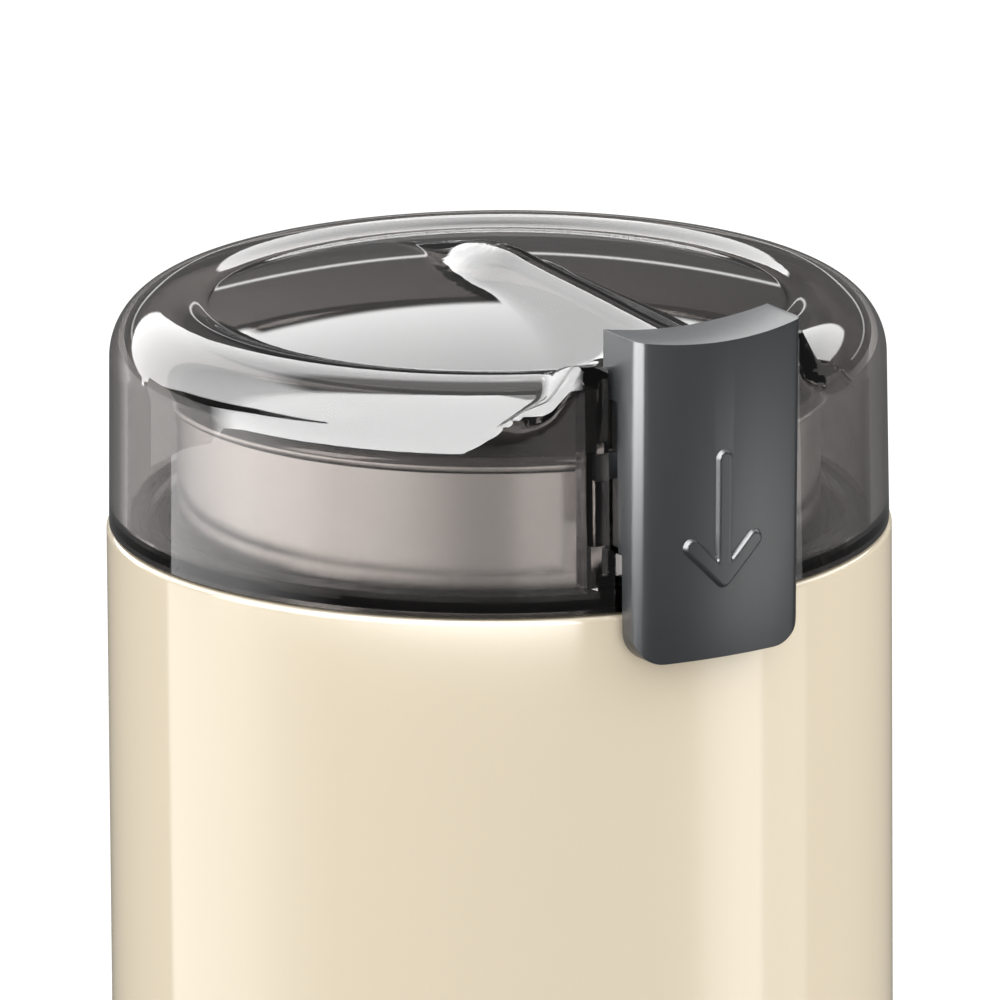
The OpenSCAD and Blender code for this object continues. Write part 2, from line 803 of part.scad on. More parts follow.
module rotor_windings() {
    color(copper) {
        translate([0, 0, stack_z - winding_low_h]) winding_end(winding_low_h);
        translate([0, 0, stack_top_z]) winding_end(winding_top_h);
    }
}

module commutator() {
    color(copper) translate([0, 0, comm_z]) difference() {
        union() {
            tube(comm_r, bore_r, comm_h);
            translate([0, 0, comm_h - 1.5]) tube(comm_r + 1, bore_r, 1.5);
        }
        for (i = [0:rotor_slots - 1]) rotate(i * 360 / rotor_slots)
            translate([comm_r - 0.8, -0.25, -cut]) cube([3, 0.5, comm_h + 2 * cut]);
    }
}

module brush_carrier() {
    color(rubber) difference() {
        union() {
            translate([-box_end_x, -box_w / 2, lower_bar_top_z])
                cube([2 * box_end_x, box_w, brush_plate_t]);
            for (s = [-1, 1]) translate([s * (box_in_x + box_end_x) / 2, 0,
                (lower_bar_top_z + brush_z + box_w / 2) / 2])
                cube([box_l, box_w, brush_z + box_w / 2 - lower_bar_top_z], center = true);
        }
        translate([0, 0, lower_bar_top_z - cut]) cylinder(r = shaft_r + 2, h = brush_plate_t + 2 * cut);
        for (s = [-1, 1]) translate([s * (box_in_x + box_end_x - box_wall) / 2, 0, brush_z])
            cube([box_l - box_wall, brush_w + 2 * run_gap, brush_w + 2 * run_gap], center = true);
    }
}

module carbon_brushes() {
    color([0.2, 0.2, 0.21]) for (s = [-1, 1])
        translate([s * (comm_r + run_gap + brush_l / 2), 0, brush_z])
            cube([brush_l, brush_w, brush_w], center = true);
}

module brush_springs() {
    spring_start = comm_r + run_gap + brush_l;
    color(steel) for (s = [-1, 1]) translate([s * spring_start, 0, brush_z])
        rotate([0, s * 90, 0])
            coil_spring(brush_w / 2 - 1, brush_spring_wire_r,
                box_end_x - box_wall - spring_start - 2 * brush_spring_wire_r, 4);
}

module cooling_fan() {
    disc_t = 1.2;
    color(anthracite) translate([0, 0, fan_z]) difference() {
        union() {
            cylinder(r = shaft_r + 3, h = fan_h);
            translate([0, 0, fan_h - disc_t]) cylinder(r = fan_d / 2, h = disc_t);
            for (i = [0:fan_n - 1]) rotate(i * 360 / fan_n)
                translate([shaft_r + 2, -disc_t / 2, 0])
                    cube([fan_d / 2 - shaft_r - 3, disc_t, fan_h]);
        }
        translate([0, 0, -cut]) cylinder(r = bore_r, h = fan_h + 2 * cut);
    }
}

module blade_hub() {
    color([0.75, 0.62, 0.35]) translate([0, 0, hub_z]) tube(hub_r, bore_r, hub_h);
}

// The grinder's cut that sharpens a wing's leading edge
module wing_grind(bend) {
    translate([wing_start, 0, 0]) rotate([0, -bend, 0])
        translate([grind_start, blade_w / 2 - grind_w, blade_t * cos(bend)]) rotate([-25, 0, 0])
            cube([blade_span, blade_w, blade_t]);
}

module grinding_blade() {
    wing_l = blade_span / 2 - wing_start;
    up = [wing_l * cos(wing_up), wing_l * sin(wing_up)];
    down = [-wing_l * cos(wing_down), -wing_l * sin(wing_down)];
    root = [wing_start, 0];
    lift = [0, blade_t];
    color(steel) translate([0, 0, blade_z]) difference() {
        union() {
            rotate([90, 0, 0]) linear_extrude(blade_w, center = true)
                polygon([down - root, -root, root, root + up, root + up + lift, root + lift,
                    lift - root, down - root + lift]);
            cylinder(r = hub_r + 0.5, h = blade_t);
        }
        wing_grind(wing_up);
        rotate(180) wing_grind(-wing_down);
        translate([0, 0, -cut]) cylinder(r = thread_r + press_gap, h = blade_t + 2 * cut);
    }
}

module blade_nut() {
    color(steel) translate([0, 0, blade_top_z]) difference() {
        union() {
            cylinder(r = nut_r, h = nut_h, $fn = 6);
            intersection() {
                translate([0, 0, nut_h - 1.2]) sphere(r = nut_dome_r);
                translate([0, 0, nut_h - 0.5]) cylinder(r = nut_r, h = nut_dome_r);
            }
        }
        translate([0, 0, -cut]) cylinder(r = thread_r + press_gap, h = thread_h + cut + 0.2);
    }
}

// ---- Switch ----

// Places its children at the two screws through the switch, heading +Y
module switch_screw_places() {
    for (x = [switch_screw_in, switch_size.x - switch_screw_in])
        translate([switch_x + x, switch_y, switch_z + switch_screw_in]) children();
}

module microswitch() {
    color([0.16, 0.16, 0.17]) difference() {
        union() {
            translate([switch_x, switch_y, switch_z]) cube(switch_size);
            for (y = [0, switch_size.y - ear_t])
                translate([-lever_arm - 1.5, switch_y + y, switch_top_z - cut])
                    cube([3, ear_t, cut + 2.2]);
            translate([-lever_arm + 7, switch_y + switch_size.y / 2, switch_top_z - cut])
                cylinder(r = 1, h = cut + 0.6);
            for (x = terminal_xs)
                translate([switch_x + x - 1.2, switch_y + switch_size.y / 2 - 0.3,
                    switch_z - terminal_h])
                    cube([2.4, 0.6, terminal_h + cut]);
        }
        translate([-lever_arm, switch_y - cut, hinge_z]) rotate([-90, 0, 0])
            cylinder(r = hinge_pin_r + run_gap, h = switch_size.y + 2 * cut);
        switch_screw_places() translate([0, -cut, 0]) rotate([-90, 0, 0])
            cylinder(r = m2_hole_r, h = switch_size.y + 2 * cut);
    }
}

module switch_screws() {
    color(steel) switch_screw_places() rotate([-90, 0, 0]) {
        cylinder(r = m2_r, h = switch_size.y + tab_t);
        translate([0, 0, -m2_head_h]) cylinder(r = m2_head_r, h = m2_head_h);
    }
}

module switch_lever() {
    mid_y = switch_y + switch_size.y / 2;
    color(steel) translate([-lever_arm, mid_y, hinge_z]) {
        rotate([90, 0, 0]) cylinder(r = hinge_pin_r, h = switch_size.y, center = true);
        rotate([90, 0, 0]) cylinder(r = lever_rad, h = lever_w, center = true);
        rotate([0, -lever_angle, 0]) translate([0, -lever_w / 2, -lever_t / 2])
            cube([lever_l, lever_w, lever_t]);
    }
}

module switch_rod() {
    color([0.85, 0.85, 0.83]) {
        translate([0, rod_y, nose_z]) cylinder(r = rod_r, h = head_z - nose_z + head_h / 2);
        translate([-head_w / 2, rod_y - head_d / 2, head_z]) cube([head_w, head_d, head_h]);
        translate([-head_w / 2, rod_y - rod_r, deck_z - deck_t - free_gap - stop_h])
            cube([head_w, 2 * rod_r, stop_h]);
        translate([0, rod_y - rod_r, nose_z]) rotate([-90, 0, 0])
            cylinder(r = nose_r, h = nose_end_y - rod_y + rod_r);
    }
}

module rod_spring() {
    color(steel) translate([0, rod_y, deck_z])
        coil_spring(rod_r + 0.4, 0.18, rod_spring_l - 0.05, 5);
}

// ---- Mains parts ----

module capacitor() {
    color([0.75, 0.68, 0.30]) rotate(cap_angle)
        translate([cap_r, 0, plate_top_z + cap_size.z / 2])
            cube([cap_size.y, cap_size.x, cap_size.z], center = true);
}

module thermal_fuse() {
    color([0.8, 0.8, 0.78])
        translate([stator_l / 2 - fuse_inset - fuse_l, stack_screw_r + 0.8,
            stack_top_z + fuse_r])
            rotate([0, 90, 0]) cylinder(r = fuse_r, h = fuse_l);
}

// A round lead along a route that nowhere heads towards aside
module lead(route, aside) {
    sides = 8;
    last = len(route) - 1;
    points = [for (i = [0:last], j = [0:sides - 1])
        let (t = unit(route[min(i + 1, last)] - route[max(i - 1, 0)]),
            u = unit(cross(t, aside)), v = cross(u, t), b = 360 * j / sides)
        route[i] + lead_r * (u * cos(b) + v * sin(b))];
    polyhedron(points, tube_faces(last + 1, sides), convexity = 6);
}

module motor_leads() {
    terminal_y = switch_y + switch_size.y / 2;
    terminal_z = switch_z - terminal_h - lead_end_gap;
    brush_x = -box_end_x - lead_end_gap;
    coil_x = window_out_x - coil_gap + lead_end_gap;
    half_l = stator_l / 2;
    half_w = stator_w / 2;
    clear = 3 * lead_r;
    color([0.15, 0.25, 0.55]) {
        // From the switch down past the stator's end to a brush
        lead([[switch_x + terminal_xs[0], terminal_y, terminal_z],
            [switch_x + terminal_xs[0], terminal_y, terminal_z - lead_stub_l],
            [-half_l + clear, -half_w - 2 * clear, stack_top_z - clear],
            [-half_l - clear, -half_w, stack_top_z - stack_h / 2],
            [-half_l - clear, -half_w / 2, stack_z - clear],
            [brush_x - 2 * lead_stub_l, 0, brush_z + clear],
            [brush_x - lead_stub_l, 0, brush_z],
            [brush_x, 0, brush_z]], [0, 1, 0.5]);
        // From the switch round to the side of a field coil
        lead([[switch_x + terminal_xs[1], terminal_y, terminal_z],
            [switch_x + terminal_xs[1], terminal_y, terminal_z - lead_stub_l],
            [half_l / 2, -half_w - 2 * clear, stack_top_z],
            [half_l, -half_w - clear, stack_top_z + clear],
            [half_l + clear, -half_w / 2, stack_top_z + clear],
            [half_l, -pole_half_w, stack_top_z + clear],
            [coil_x + lead_stub_l, -pole_half_w, stack_top_z + clear],
            [coil_x, -pole_half_w, stack_top_z + clear]], [0.4, 0, 1]);
    }
}

// ---- Lid and button ----

// Half of the lid's outline, filled, and drawn in from its outer face
module lid_outline(inset, low_z) {
    translate([0, rim_z]) {
        polygon([[0, low_z - rim_z], [lid_r - inset, low_z - rim_z],
            [lid_r - lid_draft - inset, shoulder_h], [0, shoulder_h]]);
        intersection() {
            translate([shoulder_c, shoulder_h]) circle(shoulder_r - inset);
            square([2 * body_r, dome_h]);
        }
        intersection() {
            translate([0, dome_h - dome_sphere_r]) circle(dome_sphere_r - inset, $fn = 360);
            translate([0, shoulder_h - cut]) square([shoulder_c - 1, 2 * body_r]);
        }
    }
}

// An upright slice across the ridge, with its roof's heights above the housing's top edge
module roof_slice(y, half_w, foot_h, top_h) {
    translate([0, y + 0.01, rim_z]) rotate([90, 0, 0]) linear_extrude(0.01)
        polygon([[-half_w, foot_h - 3], [-half_w, foot_h], [0, top_h], [half_w, foot_h],
            [half_w, foot_h - 3]]);
}

// The gabled ridge on the dome, drawn in from its outer face
module ridge(inset) {
    hull() {
        roof_slice(slot_y - cut, ridge_end_w - inset, ridge_foot_h - inset,
            ridge_end_h - inset);
        roof_slice(ridge_peak_y, ridge_half_w - inset, dome_h - 1 - inset, ridge_h - inset);
        roof_slice(ridge_tail - 3 * inset, 0.5, dome_h - 2 - inset,
            dome_h - 1.2 - inset);
    }
}

// The upright-sided end of the ridge, with a cheek on each side of the button
module cheeks(inset) {
    intersection() {
        hull() {
            translate([0, -body_r, rim_z]) rotate([90, 0, 0]) linear_extrude(0.01)
                polygon([[-cheek_half_w + inset, shoulder_h - 3],
                    [-cheek_half_w + inset, shoulder_h], [-cheek_top_w + inset, cheek_top_h - inset],
                    [0, ridge_end_h - inset], [cheek_top_w - inset, cheek_top_h - inset],
                    [cheek_half_w - inset, shoulder_h], [cheek_half_w - inset, shoulder_h - 3]]);
            roof_slice(cheek_in_y, cheek_top_w - inset, ridge_foot_h - 1.5 - inset,
                ridge_end_h - inset);
        }
        translate([0, 0, rim_z]) cylinder(r = lid_r - lid_draft - inset, h = button_top_h);
    }
}

// Walls that guide the button, inside the lid
module button_guides() {
    for (s = [-1, 1])
        translate([s * (slot_half_w + guide_t / 2), slot_y + guide_t - body_r / 2,
            rim_z + body_r / 2])
            cube([guide_t, body_r, body_r], center = true);
    translate([-slot_half_w - guide_t, slot_y, rim_z + guide_back_h])
        cube([2 * (slot_half_w + guide_t), guide_t, body_r]);
    translate([-slot_half_w - cut, -body_r, rim_z + band_h - shelf_t])
        cube([2 * (slot_half_w + cut), body_r + slot_y, shelf_t]);
}

module lid() {
    color(smoke) difference() {
        union() {
            rotate_extrude() lid_outline(0, lid_z);
            ridge(0);
            cheeks(0);
            translate([0, 0, rim_z - spigot_h]) cylinder(r = spigot_r, h = spigot_h + cut);
            for (s = [-1, 1]) translate([s * spring_x, spring_y, rim_z + band_h])
                cylinder(r = post_pin_r, h = 1);
        }
        // The hollow, less the button's guides
        difference() {
            union() {
                rotate_extrude() lid_outline(lid_wall, lid_z + lid_wall);
                ridge(lid_wall);
                cheeks(lid_wall);
            }
            button_guides();
        }
        translate([0, 0, rim_z - spigot_h - cut])
            cylinder(r = spigot_r - spigot_t, h = spigot_h + lid_wall + 2 * cut);
        // The slot for the button, less its lower corners and the pins that centre its springs
        difference() {
            translate([-slot_half_w, -2 * body_r, rim_z + band_h])
                cube([2 * slot_half_w, 2 * body_r + slot_y, 2 * body_r]);
            for (s = [-1, 1]) translate([s * spring_x, spring_y, rim_z + band_h - cut])
                cylinder(r = post_pin_r, h = post_pin_h + cut);
            for (s = [0, 1]) mirror([s, 0, 0]) translate([lip_in_x, 0, rim_z + band_h - cut])
                rotate([90, 0, 0]) linear_extrude(2 * body_r)
                    polygon([[0, 0], [2 * lip_w, 0], [2 * lip_w, lip_h + cut],
                        [lip_w, lip_h + cut], [0, lip_h + cut - lip_fall]]);
        }
        // The way down for the button's leg, and the spigot's gap around the switch rod
        translate([-leg_half_w - 0.4, leg_out_y - 0.4, rim_z - spigot_h - cut])
            cube([2 * leg_half_w + 0.8, body_r / 2, spigot_h + band_h + 2 * cut]);
        // Windows for the button's nibs
        translate([-slot_half_w - guide_t, nib_y - slip_gap, nib_slot_z - nib_slot_h])
            cube([2 * (slot_half_w + guide_t), nib_d + 2 * slip_gap, nib_slot_h]);
    }
}

// The button seen from above
module button_plan() {
    half_w = button_w / 2;
    intersection() {
        circle(face_r);
        translate([-half_w + button_edge_r, -2 * body_r])
            square([button_w - 2 * button_edge_r, 2 * body_r]);
    }
    translate([-half_w, block_edge_y]) square([button_w, -block_edge_y]);
    for (s = [-1, 1]) translate([s * (half_w - button_edge_r), block_edge_y])
        circle(button_edge_r);
}

// The arrow seen from the front, with its tip at the origin
module arrow_outline() {
    translate([-arrow_w / 2, 0]) square([arrow_w, arrow_l]);
    translate([0, arrow_l]) circle(arrow_w / 2);
    circle(arrow_w / 2);
    for (s = [-1, 1]) {
        rotate(s * -45) translate([-arrow_w / 2, 0]) square([arrow_w, arrow_head * sqrt(2)]);
        translate([s * arrow_head, arrow_head]) circle(arrow_w / 2);
    }
}

module press_button() {
    block_h = button_top_z - block_z;
    hollow_r = (pow(button_w / 2, 2) + pow(hollow_depth, 2)) / (2 * hollow_depth);
    color(anthracite) difference() {
        union() {
            // Block that slides in the lid's slot
            translate([0, 0, block_z]) linear_extrude(block_h) difference() {
                button_plan();
                translate([-button_w, button_back_y]) square([2 * button_w, 2 * body_r]);
            }
            // Apron that hangs in front of the housing
            translate([0, 0, apron_z]) linear_extrude(block_z - apron_z + cut) difference() {
                button_plan();
                circle(apron_r);
                translate([-button_w, -body_r / 2]) square([2 * button_w, 2 * body_r]);
            }
            // Leg that reaches the switch rod
            translate([-leg_half_w, leg_out_y, leg_z])
                cube([2 * leg_half_w, leg_in_y - leg_out_y, block_z - leg_z + cut]);
            // Nibs that keep the button in the lid
            translate([-slot_half_w - nib_out, nib_y, nib_slot_z - slip_gap - nib_h])
                cube([2 * (slot_half_w + nib_out), nib_d, nib_h]);
            // Arrow that shows which way to press
            intersection() {
                translate([0, -body_r / 2, rim_z + arrow_top_h - arrow_l]) rotate([90, 0, 0])
                    linear_extrude(body_r) arrow_outline();
                tube(face_r + arrow_raise, face_r - cut, 4 * body_r);
            }
        }
        // Finger hollow
        translate([0, -face_r, button_top_z + hollow_r - hollow_depth]) rotate([-90, 0, 0])
            translate([0, 0, -body_r / 2]) cylinder(r = hollow_r, h = body_r * 2, $fn = 240);
        for (s = [-1, 1]) translate([s * spring_x, spring_y, block_z - cut])
            cylinder(r = spring_pocket_r, h = spring_pocket_h + cut);
        // Recesses that keep the block's sides clear of the lid, apart from the nibs
        for (s = [0, 1]) mirror([s, 0, 0]) translate([recess_x, recess_y, block_z - cut])
            difference() {
                cube([button_w, body_r, rim_z + recess_top_h - block_z + cut]);
                translate([-cut, nib_y - recess_y, nib_slot_z - slip_gap - nib_h - block_z + cut])
                    cube([button_w + 2 * cut, body_r, nib_h]);
            }
        for (s = [0, 1]) mirror([s, 0, 0]) translate([button_w / 2, 0, apron_z])
            rotate([90, 0, 0]) linear_extrude(2 * body_r) corner_cut(apron_corner_r);
    }
}

module button_springs() {
    color(steel) for (s = [-1, 1]) translate([s * spring_x, spring_y, rim_z + band_h])
        coil_spring(spring_mean_r, spring_wire_r, travel + spring_pocket_h - 0.05, 8);
}

housing();
base_plate();
rubber_feet();
base_screws();
bowl_carrier();
carrier_screws();
grinding_bowl();
bowl_gasket();
shaft_seal();
upper_bracket();
lower_bracket();
upper_bearing();
lower_bearing();
stator_core();
field_coils();
stack_screws();
motor_dampers();
mount_screws();
brush_carrier();
carbon_brushes();
brush_springs();
microswitch();
switch_screws();
capacitor();
thermal_fuse();
motor_leads();
cord_gland();
rod_spring();
lid();
button_springs();
press_button();
switch_rod();
switch_lever();
motor_shaft();
rotor_core();
rotor_windings();
commutator();
cooling_fan();
blade_hub();
grinding_blade();
blade_nut();
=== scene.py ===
import bpy
import bmesh
import math
import numpy as np
from mathutils import Matrix, Vector


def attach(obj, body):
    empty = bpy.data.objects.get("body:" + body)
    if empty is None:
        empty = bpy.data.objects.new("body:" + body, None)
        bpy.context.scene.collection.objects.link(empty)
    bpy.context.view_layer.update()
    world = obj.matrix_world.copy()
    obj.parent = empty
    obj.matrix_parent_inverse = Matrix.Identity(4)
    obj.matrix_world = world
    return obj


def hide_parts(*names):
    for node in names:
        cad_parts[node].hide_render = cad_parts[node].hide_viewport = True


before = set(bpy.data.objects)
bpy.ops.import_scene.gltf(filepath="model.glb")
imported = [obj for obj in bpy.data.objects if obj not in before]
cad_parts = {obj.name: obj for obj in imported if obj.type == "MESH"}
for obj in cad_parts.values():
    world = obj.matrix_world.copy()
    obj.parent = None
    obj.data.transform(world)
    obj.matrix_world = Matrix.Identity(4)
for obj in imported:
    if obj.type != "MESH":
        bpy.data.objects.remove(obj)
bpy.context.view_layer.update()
scene = bpy.context.scene
mm = 0.001
rimZ = 138.5      # top edge of the housing, above the table
pinX, pinY = 6.6, -41.35      # the two button springs


# Mesh helpers, with sizes in millimetres

def meshObject(name, verts, faces):
    mesh = bpy.data.meshes.new(name)
    mesh.from_pydata([tuple(c * mm for c in v) for v in verts], [], faces)
    mesh.update()
    obj = bpy.data.objects.new(name, mesh)
    scene.collection.objects.link(obj)
    return obj


def tidy(obj, merge=1e-6):
    bm = bmesh.new()
    bm.from_mesh(obj.data)
    bmesh.ops.remove_doubles(bm, verts=bm.verts, dist=merge)
    bmesh.ops.dissolve_degenerate(bm, edges=bm.edges, dist=merge)
    bmesh.ops.recalc_face_normals(bm, faces=bm.faces)
    bm.to_mesh(obj.data)
    bm.free()
    return obj


def smooth(obj, angle=35):
    obj.data.shade_smooth()
    obj.data.set_sharp_from_angle(angle=math.radians(angle))
    return obj


def bake(obj):
    # Turns the object with its modifiers into a plain mesh
    graph = bpy.context.evaluated_depsgraph_get()
    mesh = bpy.data.meshes.new_from_object(obj.evaluated_get(graph), depsgraph=graph)
    old = obj.data
    obj.modifiers.clear()
    obj.data = mesh
    mesh.name = obj.name
    if isinstance(old, bpy.types.Mesh) and old.users == 0:
        bpy.data.meshes.remove(old)
    return obj


def rounded(points, steps=5):
    # points are (x, y, radius); each corner gets an arc of that radius
    out = []
    n = len(points)
    for i in range(n):
        x, y, r = points[i]
        p = Vector((x, y))
        if r <= 0:
            out.append((x, y))
            continue
        a = Vector(points[i - 1][:2]) - p
        b = Vector(points[(i + 1) % n][:2]) - p
        half = a.angle(b) / 2
        run = r / math.tan(half)
        start = p + a.normalized() * run
        end = p + b.normalized() * run
        mid = p + (a.normalized() + b.normalized()).normalized() * (r / math.sin(half))
        a0 = math.atan2(start.y - mid.y, start.x - mid.x)
        turn = math.atan2(end.y - mid.y, end.x - mid.x) - a0
        turn = (turn + math.pi) % (2 * math.pi) - math.pi
        for k in range(steps + 1):
            t = a0 + turn * k / steps
            out.append((mid.x + r * math.cos(t), mid.y + r * math.sin(t)))
    return out


def turned(name, profile, segments=192):
    # profile is a loop of (radius, height); points on the axis become poles
    verts, rings = [], []
    for r, z in profile:
        if r < 1e-6:
            rings.append([len(verts)])
            verts.append((0, 0, z))
        else:
            rings.append(list(range(len(verts), len(verts) + segments)))
            for k in range(segments):
                t = 2 * math.pi * k / segments
                verts.append((r * math.cos(t), r * math.sin(t), z))
    faces = []
    for a, b in zip(rings, rings[1:] + rings[:1]):
        if len(a) == 1 and len(b) == 1:
            continue
        for k in range(segments):
            m = (k + 1) % segments
            if len(a) == 1:
                faces.append((a[0], b[m], b[k]))
            elif len(b) == 1:
                faces.append((a[k], a[m], b[0]))
            else:
                faces.append((a[k], a[m], b[m], b[k]))
    return tidy(meshObject(name, verts, faces))


def prism(name, outline, z0, z1):
    n = len(outline)
    verts = [(x, y, z0) for x, y in outline] + [(x, y, z1) for x, y in outline]
    faces = [tuple(range(n))[::-1], tuple(range(n, 2 * n))]
    faces += [(i, (i + 1) % n, n + (i + 1) % n, n + i) for i in range(n)]
    return tidy(meshObject(name, verts, faces))


def block(name, low, high):
    (x0, y0, z0), (x1, y1, z1) = low, high
    return prism(name, [(x0, y0), (x1, y0), (x1, y1), (x0, y1)], z0, z1)


def disc(r, segments=48, x=0, y=0):
    return [(x + r * math.cos(2 * math.pi * k / segments),
             y + r * math.sin(2 * math.pi * k / segments)) for k in range(segments)]


def turn(obj, axis, degrees):
    obj.data.transform(Matrix.Rotation(math.radians(degrees), 4, axis))
    return obj


def move(obj, x, y, z):
    obj.data.transform(Matrix.Translation(Vector((x, y, z)) * mm))
    return obj


def carve(obj, tools, how="DIFFERENCE", solver="MANIFOLD"):
    for tool in tools:
        mod = obj.modifiers.new("carve", "BOOLEAN")
        mod.operation = how
        mod.solver = solver
        mod.object = tool
    bake(obj)
    for tool in tools:
        mesh = tool.data
        bpy.data.objects.remove(tool)
        bpy.data.meshes.remove(mesh)
    return obj


def ease(obj, width, segments=3, angle=40):
    mod = obj.modifiers.new("ease", "BEVEL")
    mod.width = width * mm
    mod.segments = segments
    mod.limit_method = "ANGLE"
    mod.angle_limit = math.radians(angle)
    mod.harden_normals = False
    return bake(obj)


# The lid's heights are over the housing's edge; its ridge runs towards the button

lid = {
    "sideR": 43.2, "draft": 0.23, "seam": 0.3, "wall": 2.0,
    "shoulderR": 35.97, "shoulderH": 18.9, "shoulderRound": 7.0,
    "domeH": 28.75, "domeSphere": 137.9,
    "crest": ((-30, 25.0), (-17.6, 27.7), (-10.4, 29.4), (-4, 30.8), (-1, 31.25), (2, 31.4),
              (8, 31.0), (21.4, 30.2), (32, 29.5), (38.2, 29.15), (45, 28.8)),
    "crestFlat": 0.8, "crestRound": 0.25, "flatFrom": (-17, -5), "ridgeEnd": -37,
    "roofSlope": ((-20, 0.72), (-4, 0.72), (4, 0.62), (20, 0.56), (32, 0.55), (38.2, 0.3)),
    "blend": 0.6, "ridgeBlend": ((5, 0.35), (28, 1.0)),
    "cheekH": 28.4, "cheekHalf": 14.5, "cheekFall": 1.5, "edgeRound": 0.8,
    "cheekIn": 12.6, "cheekInFall": 0.35, "cheekBack": (0.25, 0.02), "cheekFrontR": 43.0,
    "bandH": 4.1, "slotHalf": 11.1, "slotY": -38.6, "guide": 1.6,
    "lipW": 1.5, "lipH": 3.3, "lipFall": 0.9,
    "spigotIn": 38.6, "spigotOut": 40.6, "spigotLow": -5.8, "spigotTop": 1.2, "mouthTop": 2.4,
    "pinR": 0.65, "pinH": 1.5, "guideBackZ": 17.5,
    "legWayHalf": 4.4, "legWayY": (-40.9, 3), "windowY": (-40.7, -39.3), "windowZ": (7.7, 18.1),
    # The edge is sharp low down and rounded where the cheeks are
    "edgeSharp": 0.03, "edgeFrom": 19.5, "edgeRun": 3,
    # Rays that find the lid's surface: start, reach, and how densely they follow each other
    "rayFrom": (20.0, 5.0), "rayReach": 45.0,
    "rays": ((0, 0.5), (0.12, 1), (0.22, 2.2), (0.5, 2.2), (0.6, 1), (1, 1)), "rayCount": 140,
    "hollowRays": ((0, 0.6), (0.2, 1), (0.5, 1.6), (0.6, 1), (1, 1)), "hollowRayCount": 76,
}
away = 60         # reach of what is cut past the lid and the button
absent = -99      # height where a form of the lid isn't there


def crestHeight(a):
    xs, zs = zip(*lid["crest"])
    # Smooth curve through the crest's heights
    xs = np.array(xs, float)
    zs = np.array(zs, float)
    slope = np.gradient(zs, xs)
    i = np.clip(np.searchsorted(xs, a) - 1, 0, len(xs) - 2)
    h = xs[i + 1] - xs[i]
    t = np.clip((a - xs[i]) / h, 0, 1)
    return ((1 + 2 * t) * (1 - t) ** 2 * zs[i] + t * (1 - t) ** 2 * h * slope[i]
            + t * t * (3 - 2 * t) * zs[i + 1] + t * t * (t - 1) * h * slope[i + 1])


def blendMax(a, b, k):
    h = np.maximum(k - np.abs(a - b), 0) / k
    return np.maximum(a, b) + h * h * k / 4


def lidTop(x, y, inset):
    # Height of the lid's top over the housing's edge, drawn in from its outer face
    a = -y
    r = np.hypot(x, y)
    side = np.abs(x)
    dome = lid["domeH"] - r * r / (2 * lid["domeSphere"]) - inset
    dome = np.where(r < lid["shoulderR"], dome, absent)
    ring = lid["shoulderRound"] - inset
    off = ring * ring - (r - lid["shoulderR"]) ** 2
    shoulder = lid["shoulderH"] + np.sign(off) * np.sqrt(np.abs(off))
    shoulder = np.where(r > lid["shoulderR"] - lid["shoulderRound"] + 0.1, shoulder, absent)
    base = blendMax(dome, shoulder, lid["blend"])
    slope = np.interp(a, *zip(*lid["roofSlope"]))
    flat = np.interp(a, lid["flatFrom"], (0, lid["crestFlat"]))
    off = np.maximum(side - flat, 0)
    roof = crestHeight(a) - inset - slope * (np.hypot(off, lid["crestRound"]) - lid["crestRound"])
    roof = np.where(a > lid["ridgeEnd"], roof, absent)
    top = blendMax(base, roof, np.interp(a, *zip(*lid["ridgeBlend"])))
    depth = np.sqrt(np.maximum(lid["cheekFrontR"] ** 2 - x * x, 0)) - a
    depth = np.maximum(depth - inset, 0)
    outer = np.maximum(side + 0.6 * inset - lid["cheekHalf"], 0)
    inner = np.maximum(lid["cheekIn"] - side, 0)
    linearFall, curvedFall = lid["cheekBack"]
    cheek = (lid["cheekH"] - inset - lid["cheekFall"] * outer - lid["cheekInFall"] * inner
             - linearFall * depth - curvedFall * depth ** 2)
    cheek = np.where(a > 0, cheek, absent)
    return blendMax(top, cheek, lid["blend"]), cheek


def lidSide(z, inset):
    return lid["sideR"] - lid["draft"] * np.clip(z / lid["shoulderH"], 0, 1) - inset


